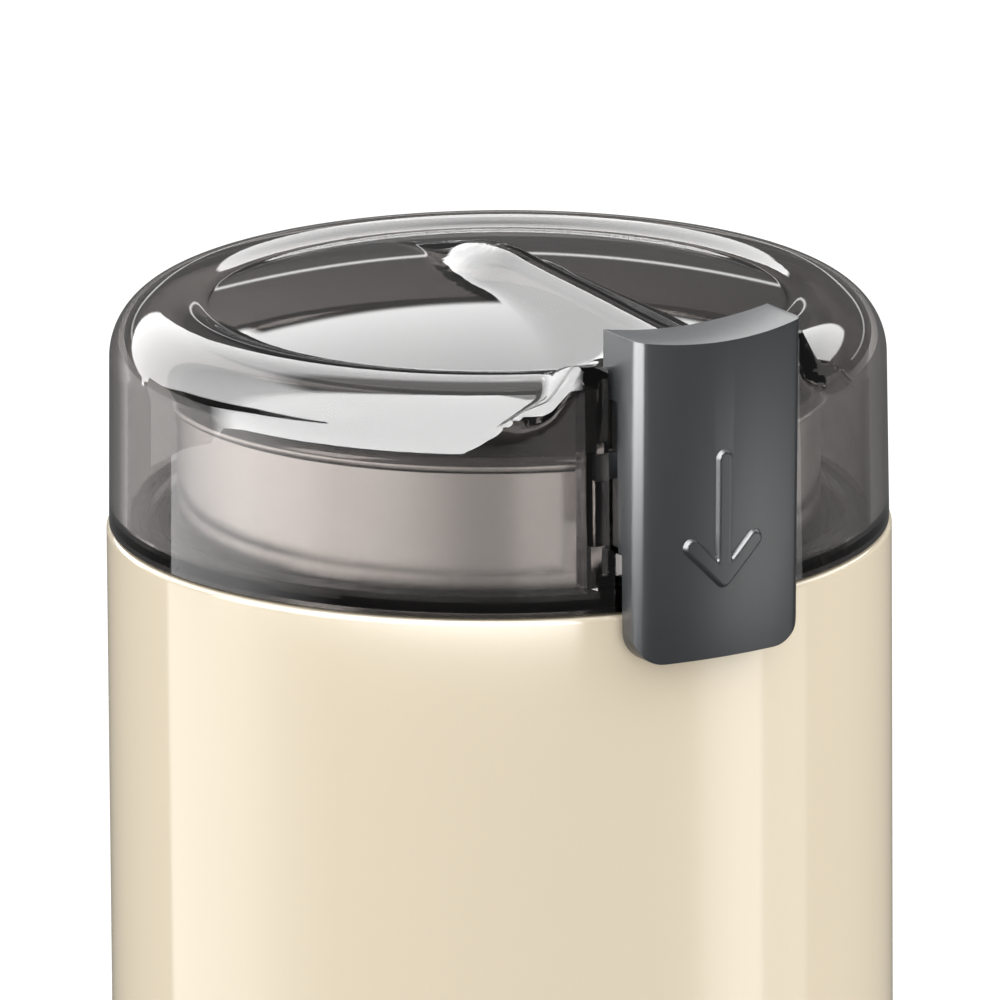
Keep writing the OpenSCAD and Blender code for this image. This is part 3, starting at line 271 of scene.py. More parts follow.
def lidShape(name, inset, lowZ, turns, rays):
    # Rays from a ring inside the lid find its surface in every upright half plane
    fromR, fromZ = lid["rayFrom"]
    count = len(turns)
    pole, _ = lidTop(np.array([0.0]), np.array([0.0]), inset)
    reach = math.atan2(pole[0] - fromZ, -fromR)
    angles = np.interp(rays, (0, 1), (0, reach))
    theta = np.array(turns)[:, None]
    phi = angles[None, :-1]
    near = np.zeros((count, len(angles) - 1))
    far = np.full_like(near, lid["rayReach"])

    def inside(t):
        r = fromR + t * np.cos(phi)
        z = fromZ + t * np.sin(phi)
        x = r * np.cos(theta)
        y = r * np.sin(theta)
        top, cheek = lidTop(x, y, inset)
        up = top - z
        out = lidSide(z, inset) - r
        share = np.clip((cheek - lid["edgeFrom"]) / lid["edgeRun"], 0, 1)
        k = lid["edgeSharp"] + (lid["edgeRound"] - lid["edgeSharp"]) * share
        h = np.maximum(k - np.abs(up - out), 0) / k
        return np.minimum(up, out) - h * h * k / 4

    for _ in range(30):
        mid = (near + far) / 2
        full = inside(mid) > 0
        near = np.where(full, mid, near)
        far = np.where(full, far, mid)
    t = (near + far) / 2
    r = fromR + t * np.cos(phi)
    z = fromZ + t * np.sin(phi) + rimZ
    rows = len(angles) - 1
    foot = lidSide(lowZ, inset)
    verts = [(foot * math.cos(q), foot * math.sin(q), rimZ + lowZ) for q in turns]
    for j in range(rows):
        verts += [(r[i, j] * math.cos(q), r[i, j] * math.sin(q), z[i, j])
                  for i, q in enumerate(turns)]
    verts.append((0, 0, pole[0] + rimZ))
    verts.append((0, 0, rimZ + lowZ))
    faces = []
    for j in range(rows):
        for i in range(count):
            m = (i + 1) % count
            faces.append((j * count + i, j * count + m, (j + 1) * count + m, (j + 1) * count + i))
    for i in range(count):
        m = (i + 1) % count
        faces.append((rows * count + i, rows * count + m, len(verts) - 2))
        faces.append((m, i, len(verts) - 1))
    return tidy(meshObject(name, verts, faces))


def spread(stops, total):
    # Places along 0 to 1 whose spacing follows the stops' densities
    xs = np.linspace(0, 1, 2001)
    weight = np.interp(xs, *zip(*stops))
    run = np.concatenate([[0], np.cumsum((weight[1:] + weight[:-1]) / 2)])
    return np.interp(np.linspace(0, run[-1], total + 1), run, xs)


def compass(near, middle, far):
    # Directions around the axis, closest together beside the button
    steps = np.concatenate([np.arange(-40, 40, near), np.arange(40, 100, middle),
                            np.arange(100, 260, far), np.arange(260, 320, middle)])
    return list(np.radians(steps - 90))


def makeLid():
    shell = lidShape("lidShell", 0, lid["seam"], compass(0.5, 0.8, 1.25),
                     spread(lid["rays"], lid["rayCount"]))
    hollow = lidShape("lidHollow", lid["wall"], lid["seam"] + lid["wall"], compass(0.8, 1.2, 2.0),
                      spread(lid["hollowRays"], lid["hollowRayCount"]))
    half, wall, back = lid["slotHalf"], lid["guide"], lid["slotY"]
    outer, top = half + wall, rimZ + away
    guides = [block("guide", (x, -away, rimZ - 1), (x + wall, back + wall, top))
              for x in (half, -outer)]
    guides.append(block("guideBack", (-outer, back, rimZ + lid["guideBackZ"]),
                        (outer, back + wall, top)))
    guides.append(block("shelf", (-half - 1, -away, rimZ + lid["bandH"] - 2),
                        (half + 1, back, rimZ + lid["bandH"])))
    carve(hollow, guides)
    inR, outR = lid["spigotIn"], lid["spigotOut"]
    foot, brim = rimZ + lid["spigotLow"], rimZ + lid["spigotTop"]
    spigot = turned("spigot", rounded([(inR, foot, 0.4), (outR, foot, 0.8), (outR, brim, 0),
                                       (inR, brim, 0)]))
    carve(shell, [hollow])
    mouth = turned("mouth", [(0, rimZ - 7), (inR, rimZ - 7), (inR, rimZ + lid["mouthTop"]),
                             (0, rimZ + lid["mouthTop"])])
    carve(shell, [spigot], "UNION")
    carve(shell, [mouth])
    low, inX = rimZ + lid["bandH"], half - lid["lipW"]
    lipTop = low + lid["lipH"]
    slot = prism("slot", rounded([(-half, -away, 0), (half, -away, 0), (half, back, 0.5),
                                  (-half, back, 0.5)]), low, top)
    lip = [(inX, low - 1), (half + 1, low - 1), (half + 1, lipTop), (half, lipTop),
           (inX, lipTop - lid["lipFall"])]
    lips = [turn(prism("lip", [(s * x, z) for x, z in lip], 30, 61), "X", 90) for s in (1, -1)]
    carve(slot, lips)
    carve(shell, [slot])
    for name, wide, ys, zs in (
            ("legWay", lid["legWayHalf"], lid["legWayY"], (-7, lid["bandH"] + 1)),
            ("nibWindow", outer, lid["windowY"], lid["windowZ"])):
        carve(shell, [block(name, (-wide, ys[0], rimZ + zs[0]), (wide, ys[1], rimZ + zs[1]))])
    pins = [prism("pin", disc(lid["pinR"], 24, s * pinX, pinY), low - 0.5, low + lid["pinH"])
            for s in (1, -1)]
    carve(shell, pins, "UNION")
    return smooth(tidy(shell, 2e-6), 55)


print("lid")
lidShell = makeLid()


housing = {
    "outR": 43.48, "inR": 40.9, "lowZ": 2.0, "lowRound": 2.0, "topRound": 0.6,
    "lugR": 33.0, "lugHalf": 4.5, "lugTop": 104.0, "lugThick": 4.0, "lugHole": 1.6,
    "lugEnd": 28.5, "lugEdge": 4.4, "wallR": 41.5,
    "postR": 35.4, "postHalf": 4.0, "postLow": 4.5, "postTop": 24.5, "postHole": 1.25,
    "postHoleZ": (3.5, 16.5), "webHalf": 1.5,
    "glandZ": 18.0, "glandHole": 5.45,
}


def makeHousing():
    h = housing
    shell = turned("housingShell", rounded([
        (h["outR"], h["lowZ"], h["lowRound"]), (h["outR"], rimZ, h["topRound"]),
        (h["inR"], rimZ, 0.3), (h["inR"], h["lowZ"], 0.3)], 8), 256)
    adds = []
    holes = []
    for a in (90, 210, 330):
        t = math.radians(a)
        half, end, edge = h["lugHalf"], -h["lugEnd"], h["lugEdge"]
        plan = rounded([(-half, -h["wallR"], 0), (half, -h["wallR"], 0), (half, end, edge),
                        (-half, end, edge)])
        lug = prism("lug", plan, h["lugTop"] - h["lugThick"], h["lugTop"])
        adds.append(turn(lug, "Z", a + 90))
        x, y = h["lugR"] * math.cos(t), h["lugR"] * math.sin(t)
        holes.append(prism("lugHole", disc(h["lugHole"], 32, x, y), h["lugTop"] - 6,
                           h["lugTop"] + 2))
    for a in (30, 150, 270):
        t = math.radians(a)
        x, y = h["postR"] * math.cos(t), h["postR"] * math.sin(t)
        post = prism("post", disc(h["postHalf"], 48, x, y), h["postLow"], h["postTop"])
        web = turn(block("web", (h["postR"], -h["webHalf"], h["postLow"]),
                         (h["wallR"], h["webHalf"], h["postTop"])), "Z", a)
        adds.append(carve(post, [web], "UNION"))
        holes.append(prism("postHole", disc(h["postHole"], 32, x, y), *h["postHoleZ"]))
    carve(shell, adds, "UNION")
    gland = turn(prism("glandHole", disc(h["glandHole"], 64), 38, 46), "X", -90)
    holes.append(move(gland, 0, 0, h["glandZ"]))
    carve(shell, holes)
    return smooth(shell, 30)


print("housing")
housingShell = makeHousing()


bowl = {"inR": 35.0, "sheet": 0.6, "floorZ": 112.6, "topZ": 155.0, "corner": 5.0,
        "bead": 0.9, "beadFrom": -109.5, "hole": 7.02}


def makeBowl():
    b = bowl
    outR = b["inR"] + b["sheet"]
    lowZ = b["floorZ"] - b["sheet"]
    beadR, beadZ = b["inR"] + b["bead"], b["topZ"] - b["bead"]
    bead = [(beadR + b["bead"] * math.cos(t), beadZ + b["bead"] * math.sin(t), 0)
            for t in np.linspace(math.radians(b["beadFrom"]), math.pi, 21)]
    loop = [(b["hole"], lowZ, 0), (outR, lowZ, b["corner"] + b["sheet"])] + bead
    loop += [(b["inR"], b["floorZ"], b["corner"]), (b["hole"], b["floorZ"], 0)]
    return smooth(turned("grindingBowl", rounded(loop, 10), 192), 40)


print("bowl")
bowlPiece = makeBowl()


button = {
    "faceR": 47.3, "half": 10.5, "edge": 1.2, "apronR": 44.4, "backY": -39.5,
    "apronZ": rimZ - 5.1, "blockZ": rimZ + 7.14, "topZ": rimZ + 31.6, "hollow": 1.0,
    "corner": 3.5, "soft": 0.7, "lean": 0.024, "leanZ": rimZ + 11.5, "pocketR": 1.4,
    "recessX": 9.4, "recessY": -42.4, "recessTop": 24.0,
    "nibZ": 14.9, "nibH": 3.0, "nibHalf": 12.1, "pocketH": 9,
    "legHalf": 4, "legY": (-40.5, -37.7), "legFoot": rimZ + 0.2,
    "arrowTip": rimZ + 3.8, "arrowL": 13.6, "arrowHead": 4.0, "arrowHalf": 1.05,
    "arrowRaise": 0.44, "arrowSlope": 0.55, "arrowSink": 0.25, "arrowRoot": 0.9,
    "arrowStep": 0.16, "arrowSide": 6.4, "arrowPast": 1.9,
}


def buttonPlan(backY):
    b = button
    side = b["half"] - b["edge"]
    edgeY = -math.sqrt((b["faceR"] - b["edge"]) ** 2 - side ** 2)
    lean = math.atan2(side, -edgeY)
    plan = [(-b["half"], backY)]
    for k in range(7):
        t = math.pi + (math.pi / 2 - lean) * k / 6
        plan.append((-side + b["edge"] * math.cos(t), edgeY + b["edge"] * math.sin(t)))
    for k in range(1, 24):
        t = -lean + 2 * lean * k / 24
        plan.append((b["faceR"] * math.sin(t), -b["faceR"] * math.cos(t)))
    plan += [(-x, y) for x, y in plan[:8]][::-1]
    return plan


def makeArrow():
    # A patch of the button's face that rises over the arrow's three strokes
    b = button
    side, past, step = b["arrowSide"], b["arrowPast"], b["arrowStep"]
    xs = np.arange(-side, side + step / 100, step)
    zs = np.arange(-past, b["arrowL"] + past, step)
    gx, gz = np.meshgrid(xs, zs)

    def stroke(ax, az, bx, bz):
        dx, dz = bx - ax, bz - az
        t = np.clip(((gx - ax) * dx + (gz - az) * dz) / (dx * dx + dz * dz), 0, 1)
        return np.hypot(gx - ax - t * dx, gz - az - t * dz)

    head = b["arrowHead"]
    far = np.minimum.reduce([stroke(0, 0, 0, b["arrowL"]), stroke(0, 0, head, head),
                             stroke(0, 0, -head, head)])
    t = np.clip((b["arrowHalf"] + 0.2 - far) / b["arrowSlope"], 0, 1)
    sink = b["arrowSink"]
    high = -sink + (b["arrowRaise"] + sink) * t * t * (3 - 2 * t)
    keep = far < b["arrowHalf"] + 0.5
    rows, cols = gx.shape
    verts = []
    for lift in (high, np.full_like(high, -b["arrowRoot"])):
        y = -np.sqrt((b["faceR"] + lift) ** 2 - gx ** 2)
        verts += list(zip(gx.ravel(), y.ravel(), b["arrowTip"] + gz.ravel()))
    used = [[keep[i, j] and keep[i + 1, j] and keep[i, j + 1] and keep[i + 1, j + 1]
             for j in range(cols - 1)] for i in range(rows - 1)]
    faces = []
    n = rows * cols
    for i in range(rows - 1):
        for j in range(cols - 1):
            if not used[i][j]:
                continue
            q = [i * cols + j, i * cols + j + 1, (i + 1) * cols + j + 1, (i + 1) * cols + j]
            faces.append(q)
            faces.append([k + n for k in q[::-1]])
            for di, dj, e in ((-1, 0, 0), (0, 1, 1), (1, 0, 2), (0, -1, 3)):
                p, r = i + di, j + dj
                if not (0 <= p < rows - 1 and 0 <= r < cols - 1 and used[p][r]):
                    k, m = q[e], q[(e + 1) % 4]
                    faces.append([m, k, k + n, m + n])
    obj = meshObject("arrow", verts, faces)
    bm = bmesh.new()
    bm.from_mesh(obj.data)
    bmesh.ops.delete(bm, geom=[v for v in bm.verts if not v.link_faces], context="VERTS")
    bmesh.ops.recalc_face_normals(bm, faces=bm.faces)
    bm.to_mesh(obj.data)
    bm.free()
    return obj


def makeButton():
    b = button
    body = prism("pressButton", buttonPlan(b["backY"]), b["blockZ"], b["topZ"] + 4)
    apron = prism("apron", buttonPlan(b["backY"] - 1), b["apronZ"], b["blockZ"] + 0.5)
    carve(apron, [prism("apronBack", disc(b["apronR"], 360), b["apronZ"] - 2, b["blockZ"])])
    carve(body, [apron], "UNION")
    hollowR = (b["half"] ** 2 + b["hollow"] ** 2) / (2 * b["hollow"])
    hollow = turn(prism("hollow", disc(hollowR, 720), -40, 60), "X", -90)
    tools = [move(hollow, 0, -b["faceR"], b["topZ"] + hollowR - b["hollow"])]
    for s in (-1, 1):
        half, corner, foot = b["half"], b["corner"], b["apronZ"]
        outline = [(half + 2, foot - 2), (half + 2, foot + corner)]
        outline += [(half - corner + corner * math.cos(t), foot + corner - corner * math.sin(t))
                    for t in np.linspace(0, math.pi / 2, 11)]
        outline.append((half - corner, foot - 2))
        outline = [(s * x, z) for x, z in outline]
        tools.append(turn(prism("corner", outline, 30, 60), "X", 90))
        left, right = sorted((s * b["recessX"], s * 14))
        tools.append(block("recess", (left, b["recessY"], b["blockZ"] - 1),
                           (right, -30, rimZ + b["recessTop"])))
    carve(body, [tidy(tool) for tool in tools])
    ease(body, b["soft"], 4, 38)
    leg = block("leg", (-b["legHalf"], b["legY"][0], b["legFoot"]),
                (b["legHalf"], b["legY"][1], b["blockZ"] + 1))
    nibZ = rimZ + b["nibZ"]
    nibs = block("nibs", (-b["nibHalf"], b["backY"] - 1, nibZ),
                 (b["nibHalf"], b["backY"], nibZ + b["nibH"]))
    carve(body, [ease(leg, 0.3, 2), ease(nibs, 0.2, 2), makeArrow()], "UNION")
    carve(body, [prism("pocket", disc(b["pocketR"], 32, s * pinX, pinY), b["blockZ"] - 1,
                       b["blockZ"] + b["pocketH"]) for s in (-1, 1)])
    # The face leans out a little towards its top
    for v in body.data.vertices:
        share = np.clip((-v.co.y - b["apronR"] * mm) / (1.5 * mm), 0, 1)
        v.co.y -= b["lean"] * (v.co.z - b["leanZ"] * mm) * share
    return smooth(tidy(body), 32)


print("button")
buttonPiece = makeButton()


# Finishes

def linear(r, g, b):
    return tuple((c / 12.92 if c <= 0.04045 else ((c + 0.055) / 1.055) ** 2.4)
                 for c in (r / 255, g / 255, b / 255)) + (1.0,)


def plug(tree, socket, value):
    # A value is set on the socket; another socket, or a grown Value, is linked to it
    value = getattr(value, "socket", value)
    if hasattr(value, "node"):
        tree.links.new(value, socket)
    else:
        socket.default_value = value


def addNode(tree, kind, place=(0, 0), values=None, **settings):
    node = tree.nodes.new(kind)
    node.location = place
    for key, value in settings.items():
        setattr(node, key, value)
    for key, value in (values or {}).items():
        plug(tree, node.inputs[key], value)
    return node


def maths(tree, operation, first, second=0.0, place=(0, 0), third=0.0, clamp=False):
    return addNode(tree, "ShaderNodeMath", place, {0: first, 1: second, 2: third},
                   operation=operation, use_clamp=clamp).outputs[0]


def noise(tree, vector, scale, detail, roughness, place):
    return addNode(tree, "ShaderNodeTexNoise", place, {
        "Vector": vector, "Scale": scale, "Detail": detail, "Roughness": roughness}).outputs["Fac"]


def mapped(tree, value, low, high, place, toLow=0.0, toHigh=1.0):
    return addNode(tree, "ShaderNodeMapRange", place, {
        "Value": value, "From Min": low, "From Max": high, "To Min": toLow,
        "To Max": toHigh}).outputs[0]


def shaderGroup(name, inputs, outputs):
    # Takes a vector and numbers, and puts out numbers
    group = bpy.data.node_groups.new(name, "ShaderNodeTree")
    face = group.interface
    face.new_socket("Vector", in_out="INPUT", socket_type="NodeSocketVector")
    for label, value in inputs.items():
        face.new_socket(label, in_out="INPUT", socket_type="NodeSocketFloat").default_value = value
    for label in outputs:
        face.new_socket(label, in_out="OUTPUT", socket_type="NodeSocketFloat")
    return (group, addNode(group, "NodeGroupInput", (-900, 0)).outputs,
            addNode(group, "NodeGroupOutput", (900, 0)).inputs)


def mouldedGrain():
    # Fine skin of moulded plastic or rubber, with slow changes of tone
    group, start, end = shaderGroup(
        "mouldedGrain", {"Grain Scale": 2000.0, "Wave Scale": 60.0, "Grain": 0.5},
        ("Height", "Tone", "Gloss"))
    fine = noise(group, start["Vector"], start["Grain Scale"], 3.0, 0.6, (-500, 200))
    slow = noise(group, start["Vector"], start["Wave Scale"], 2.0, 0.5, (-500, -100))
    grain = maths(group, "MULTIPLY", fine, start["Grain"], (-200, 200))
    plug(group, end["Height"], maths(group, "ADD", grain, slow, (0, 200)))
    plug(group, end["Tone"], slow)
    plug(group, end["Gloss"], maths(group, "SUBTRACT", fine, 0.5, (0, -200)))
    return group


def turnedMarks():
    # Rings that a lathe or a spinning tool leaves round the Z axis
    group, start, end = shaderGroup("turnedMarks", {"Density": 9000.0}, ("Height", "Tone"))
    parts = addNode(group, "ShaderNodeSeparateXYZ", (-700, 0), {0: start["Vector"]}).outputs
    xx, yy = (maths(group, "MULTIPLY", parts[axis], parts[axis], (-550, 0)) for axis in "XY")
    root = maths(group, "SQRT", maths(group, "ADD", xx, yy, (-400, 50)), 0.0, (-250, 50))
    along = addNode(group, "ShaderNodeCombineXYZ", (-100, 0), {"X": root, "Y": parts["Z"]})
    marks = noise(group, along.outputs[0], start["Density"], 4.0, 0.7, (100, 0))
    slow = noise(group, start["Vector"], 120.0, 2.0, 0.5, (100, -250))
    plug(group, end["Height"], marks)
    plug(group, end["Tone"], maths(group, "MULTIPLY", marks, slow, (350, -150)))
    return group


def settledDust():
    # A thin film on what faces up
    group, start, end = shaderGroup("settledDust", {"Amount": 0.1}, ("Mask",))
    spots = noise(group, start["Vector"], 900.0, 5.0, 0.5, (-500, 100))
    facing = addNode(group, "ShaderNodeNewGeometry", (-700, -200)).outputs["Normal"]
    upward = addNode(group, "ShaderNodeSeparateXYZ", (-500, -200), {0: facing}).outputs["Z"]
    mask = maths(group, "MULTIPLY", mapped(group, spots, 0.45, 0.8, (-250, 100)),
                 mapped(group, upward, 0.3, 1.0, (-250, -200)), (0, 0))
    plug(group, end["Mask"], maths(group, "MULTIPLY", mask, start["Amount"], (200, 0)))
    return group


grainGroup = mouldedGrain()
marksGroup = turnedMarks()
dustGroup = settledDust()


def newMaterial(name):
    mat = bpy.data.materials.new(name)
    mat.use_nodes = True
    tree = mat.node_tree
    tree.nodes.clear()
    bsdf = addNode(tree, "ShaderNodeBsdfPrincipled", (300, 0))
    out = addNode(tree, "ShaderNodeOutputMaterial", (600, 0), {"Surface": bsdf.outputs[0]})
    coord = addNode(tree, "ShaderNodeTexCoord", (-900, 0)).outputs["Object"]
    return mat, tree, bsdf.inputs, coord, out


def useGroup(tree, group, coord, place, values):
    node = addNode(tree, "ShaderNodeGroup", place, node_tree=group)
    for key, value in {"Vector": coord, **values}.items():
        plug(tree, node.inputs[key], value)
    return node.outputs


def mixColours(tree, mask, low, high, place):
    return addNode(tree, "ShaderNodeMix", place, {0: mask, 6: low, 7: high},
                   data_type="RGBA").outputs[2]


def coatWith(tree, bsdf, tone, rough, height, strength, depth):
    plug(tree, bsdf["Base Color"], tone)
    plug(tree, bsdf["Roughness"], rough)
    bump = addNode(tree, "ShaderNodeBump", (-100, -250),
                   {"Height": height, "Strength": strength, "Distance": depth})
    plug(tree, bsdf["Normal"], bump.outputs[0])


def shaded(colour, share):
    return tuple(c * share for c in colour[:3]) + (1.0,)


def mouldedFinish(name, f):
    # Plastic, rubber, board, enamel: a moulded skin with a slow change of tone and a little dust
    mat, tree, bsdf, coord, _ = newMaterial(name)
    grain = useGroup(tree, grainGroup, coord, (-600, 0), {
        "Grain Scale": f.get("grainScale", 2600), "Wave Scale": f.get("waveScale", 45),
        "Grain": f.get("grain", 0.4)})
    dust = useGroup(tree, dustGroup, coord, (-600, -250), {"Amount": f.get("dust", 0.06)})
    colour = linear(*f["colour"])
    tone = mixColours(tree, grain["Tone"], colour, shaded(colour, f.get("shade", 0.94)),
                      (-300, 150))
    tone = mixColours(tree, dust["Mask"], tone, linear(205, 200, 192), (-100, 150))
    rough = maths(tree, "MULTIPLY_ADD", grain["Gloss"], f.get("glossChange", 0.12), (-300, -50),
                  f["roughness"])
    coatWith(tree, bsdf, tone, rough, grain["Height"], f.get("bump", 0.15), 0.00004)
    bsdf["IOR"].default_value = 1.5
    bsdf["Specular IOR Level"].default_value = f.get("specular", 0.5)
    return mat


def metalFinish(name, f):
    # Turned, ground or drawn metal, with a film of dust that dulls it
    mat, tree, bsdf, coord, _ = newMaterial(name)
    marks = useGroup(tree, marksGroup, coord, (-600, 0), {"Density": f["density"]})
    dust = useGroup(tree, dustGroup, coord, (-600, -250), {"Amount": 0.04})
    colour = linear(*f["colour"])
    tone = mixColours(tree, marks["Tone"], colour, shaded(colour, f.get("shade", 0.82)),
                      (-300, 150))
    rough = maths(tree, "MULTIPLY_ADD", marks["Tone"], 0.15, (-300, -50), f["roughness"])
    rough = maths(tree, "ADD", rough, dust["Mask"], (-100, -50))
    coatWith(tree, bsdf, tone, rough, marks["Height"], f.get("bump", 0.12), 0.00002)
    bsdf["Metallic"].default_value = 1.0
    return mat


def layeredFinish(name, f):
    # Thin layers or turns that lie on each other, such as laminations, wire or commutator bars
    mat, tree, bsdf, coord, _ = newMaterial(name)
    wave = addNode(tree, "ShaderNodeTexWave", (-600, 0), {
        "Vector": coord, "Scale": f["pitchScale"], "Distortion": f.get("wander", 0.3),
        "Detail": 2.0, "Detail Scale": 1.5}, bands_direction="Z").outputs["Fac"]
    grain = useGroup(tree, grainGroup, coord, (-600, -300), {})
    # The groove tone darkens the gaps between layers or turns: partly the insulation between them,
    # partly painted shade in the gaps, which the bump can't cast
    tone = mixColours(tree, wave, linear(*f["groove"]), linear(*f["colour"]), (-300, 150))
    rough = maths(tree, "MULTIPLY_ADD", grain["Gloss"], 0.2, (-300, -50), f["roughness"])
    coatWith(tree, bsdf, tone, rough, wave, 0.6, 0.0002)
    bsdf["Metallic"].default_value = 1.0
    return mat


smoke = {"colour": (206, 202, 200), "ior": 1.5, "roughness": 0.01, "density": 145.0,
         "absorb": (150, 147, 146), "grain": 0.004, "dust": 0.004}


def smokedFinish():
    # Clear plastic whose smoke comes from its thickness
    mat, tree, bsdf, coord, out = newMaterial("smokedClear")
    bsdf["Transmission Weight"].default_value = 1.0
    bsdf["Metallic"].default_value = 0.0
    bsdf["IOR"].default_value = smoke["ior"]
    grain = useGroup(tree, grainGroup, coord, (-600, 0), {
        "Grain Scale": 900, "Wave Scale": 55, "Grain": smoke["grain"]})
    dust = useGroup(tree, dustGroup, coord, (-600, -250), {"Amount": smoke["dust"]})
    rough = maths(tree, "ADD", dust["Mask"], smoke["roughness"], (-300, -100))
    coatWith(tree, bsdf, linear(*smoke["colour"]), rough, grain["Height"], 0.05, 0.00002)
    haze = addNode(tree, "ShaderNodeVolumeAbsorption", (300, -500), {
        "Color": linear(*smoke["absorb"]), "Density": smoke["density"]})
    plug(tree, out.inputs["Volume"], haze.outputs[0])
    return mat


moulded = {
    "cream_plastic": {"colour": (226, 213, 189), "roughness": 0.09, "grain": 0.05, "bump": 0.05,
                      "glossChange": 0.03, "shade": 0.985, "waveScale": 30, "dust": 0.02},
    "button_plastic": {"colour": (42, 44, 46), "roughness": 0.33, "grain": 0.9, "bump": 0.12,
                       "specular": 0.65, "grainScale": 3200, "shade": 0.93, "dust": 0.02},
    "dark_plastic": {"colour": (44, 45, 47), "roughness": 0.45, "grain": 0.8, "bump": 0.25},
    "grey_plastic": {"colour": (206, 204, 201), "roughness": 0.42, "grain": 0.7, "bump": 0.2},
    "white_plastic": {"colour": (226, 226, 220), "roughness": 0.38, "grain": 0.4, "bump": 0.1},
    "yellow_plastic": {"colour": (206, 176, 72), "roughness": 0.35, "grain": 0.3, "bump": 0.1},
    "bakelite": {"colour": (34, 30, 29), "roughness": 0.36, "grain": 0.8, "bump": 0.2},
    "black_rubber": {"colour": (28, 28, 29), "roughness": 0.68, "grain": 1.0, "bump": 0.35,
                     "dust": 0.16, "specular": 0.35},
    "carbon": {"colour": (40, 40, 42), "roughness": 0.6, "grain": 1.0, "bump": 0.3},
    "lead_insulation": {"colour": (42, 74, 138), "roughness": 0.4, "grain": 0.4, "bump": 0.1},
}
metals = {
    "bowl_steel": {"colour": (214, 213, 211), "roughness": 0.17, "density": 5200, "bump": 0.08,
                   "shade": 0.93},
    "blade_steel": {"colour": (205, 205, 206), "roughness": 0.2, "density": 7000},
    "shaft_steel": {"colour": (196, 196, 198), "roughness": 0.22, "density": 12000},
    "zinc_steel": {"colour": (190, 192, 196), "roughness": 0.3, "density": 9000},
    "bracket_steel": {"colour": (176, 178, 180), "roughness": 0.38, "density": 6000},
    "spring_steel": {"colour": (188, 188, 190), "roughness": 0.24, "density": 12000},
    "bronze": {"colour": (172, 130, 78), "roughness": 0.42, "density": 8000},
    "brass": {"colour": (205, 172, 98), "roughness": 0.28, "density": 9000},
    "fuse_metal": {"colour": (205, 205, 202), "roughness": 0.3, "density": 9000},
}
# groove: tone in the gaps, partly insulation and partly painted shade, most of all between the
# wire's turns
layered = {
    "laminations": {"colour": (150, 150, 154), "groove": (58, 54, 52), "roughness": 0.45,
                    "pitchScale": 320},
    "copper_wire": {"colour": (190, 108, 62), "groove": (86, 40, 22), "roughness": 0.3,
                    "pitchScale": 420, "wander": 1.2},
    "copper_bars": {"colour": (196, 122, 76), "groove": (150, 86, 50), "roughness": 0.28,
                    "pitchScale": 700},
}

print("finishes")
finishes = {"smoked_plastic": smokedFinish()}
for build, family in ((mouldedFinish, moulded), (metalFinish, metals), (layeredFinish, layered)):
    for slotName, values in family.items():
        finishes[slotName] = build(slotName.replace("_", ""), values)


def dress(piece, slotName, body, *stood):
    piece.data.materials.clear()
    piece.data.materials.append(finishes[slotName])
    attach(piece, body)
    if stood:
        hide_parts(*stood)


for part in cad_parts.values():
    for slot in part.material_slots:
        slot.material = finishes[slot.material.name.split(".")[0]]


# Pieces that repeat round the axis are grown with geometry nodes

class Value:
    # A number in a node tree; plain arithmetic on it adds math nodes
    def __init__(self, tree, socket):
        self.tree, self.socket = tree, socket

    def joined(self, operation, other):
        return Value(self.tree, maths(self.tree, operation, self, other))

    def __add__(self, other):
        return self.joined("ADD", other)

    def __sub__(self, other):
        return self.joined("SUBTRACT", other)

    def __mul__(self, other):
        return self.joined("MULTIPLY", other)

    def __truediv__(self, other):
        return self.joined("DIVIDE", other)


def growthTree(name, inputs):
    tree = bpy.data.node_groups.new(name, "GeometryNodeTree")
    face = tree.interface
    for label, value in inputs.items():
        kind = "NodeSocketInt" if isinstance(value, int) else "NodeSocketFloat"
        face.new_socket(label, in_out="INPUT", socket_type=kind).default_value = value
    face.new_socket("Finish", in_out="INPUT", socket_type="NodeSocketMaterial")
    face.new_socket("Geometry", in_out="OUTPUT", socket_type="NodeSocketGeometry")
    sockets = addNode(tree, "NodeGroupInput", (-1600, 0)).outputs
    return tree, {label: Value(tree, sockets[label]) for label in (*inputs, "Finish")}


def point(tree, x=0.0, y=0.0, z=0.0):
    return addNode(tree, "ShaderNodeCombineXYZ", (-1000, -200), {0: x, 1: y, 2: z}).outputs[0]


def placed(tree, geometry, place):
    return addNode(tree, "GeometryNodeTransform", (-400, 0),
                   {"Geometry": geometry, "Translation": place}).outputs[0]


def cone(tree, lowR, topR, lowZ, height, sides=48):
    # Stands on lowZ
    mesh = addNode(tree, "GeometryNodeMeshCone", (-800, 0), {
        "Vertices": sides, "Radius Bottom": lowR, "Radius Top": topR, "Depth": height})
    return placed(tree, mesh.outputs["Mesh"], point(tree, z=lowZ))


def drum(tree, radius, lowZ, height, sides=48):
    return cone(tree, radius, radius, lowZ, height, sides)


def bar(tree, x, y, z, place):
    mesh = addNode(tree, "GeometryNodeMeshCube", (-800, 200), {"Size": point(tree, x, y, z)})
    return placed(tree, mesh.outputs["Mesh"], place)


def mixed(tree, operation, first, *others):
    node = addNode(tree, "GeometryNodeMeshBoolean", (0, 0), {"Self Intersection": True},
                   operation=operation, solver="EXACT")
    if operation == "DIFFERENCE":
        plug(tree, node.inputs["Mesh 1"], first)
    else:
        others = (first,) + others
    for part in others:
        tree.links.new(part, node.inputs["Mesh 2"])
    return node.outputs["Mesh"]


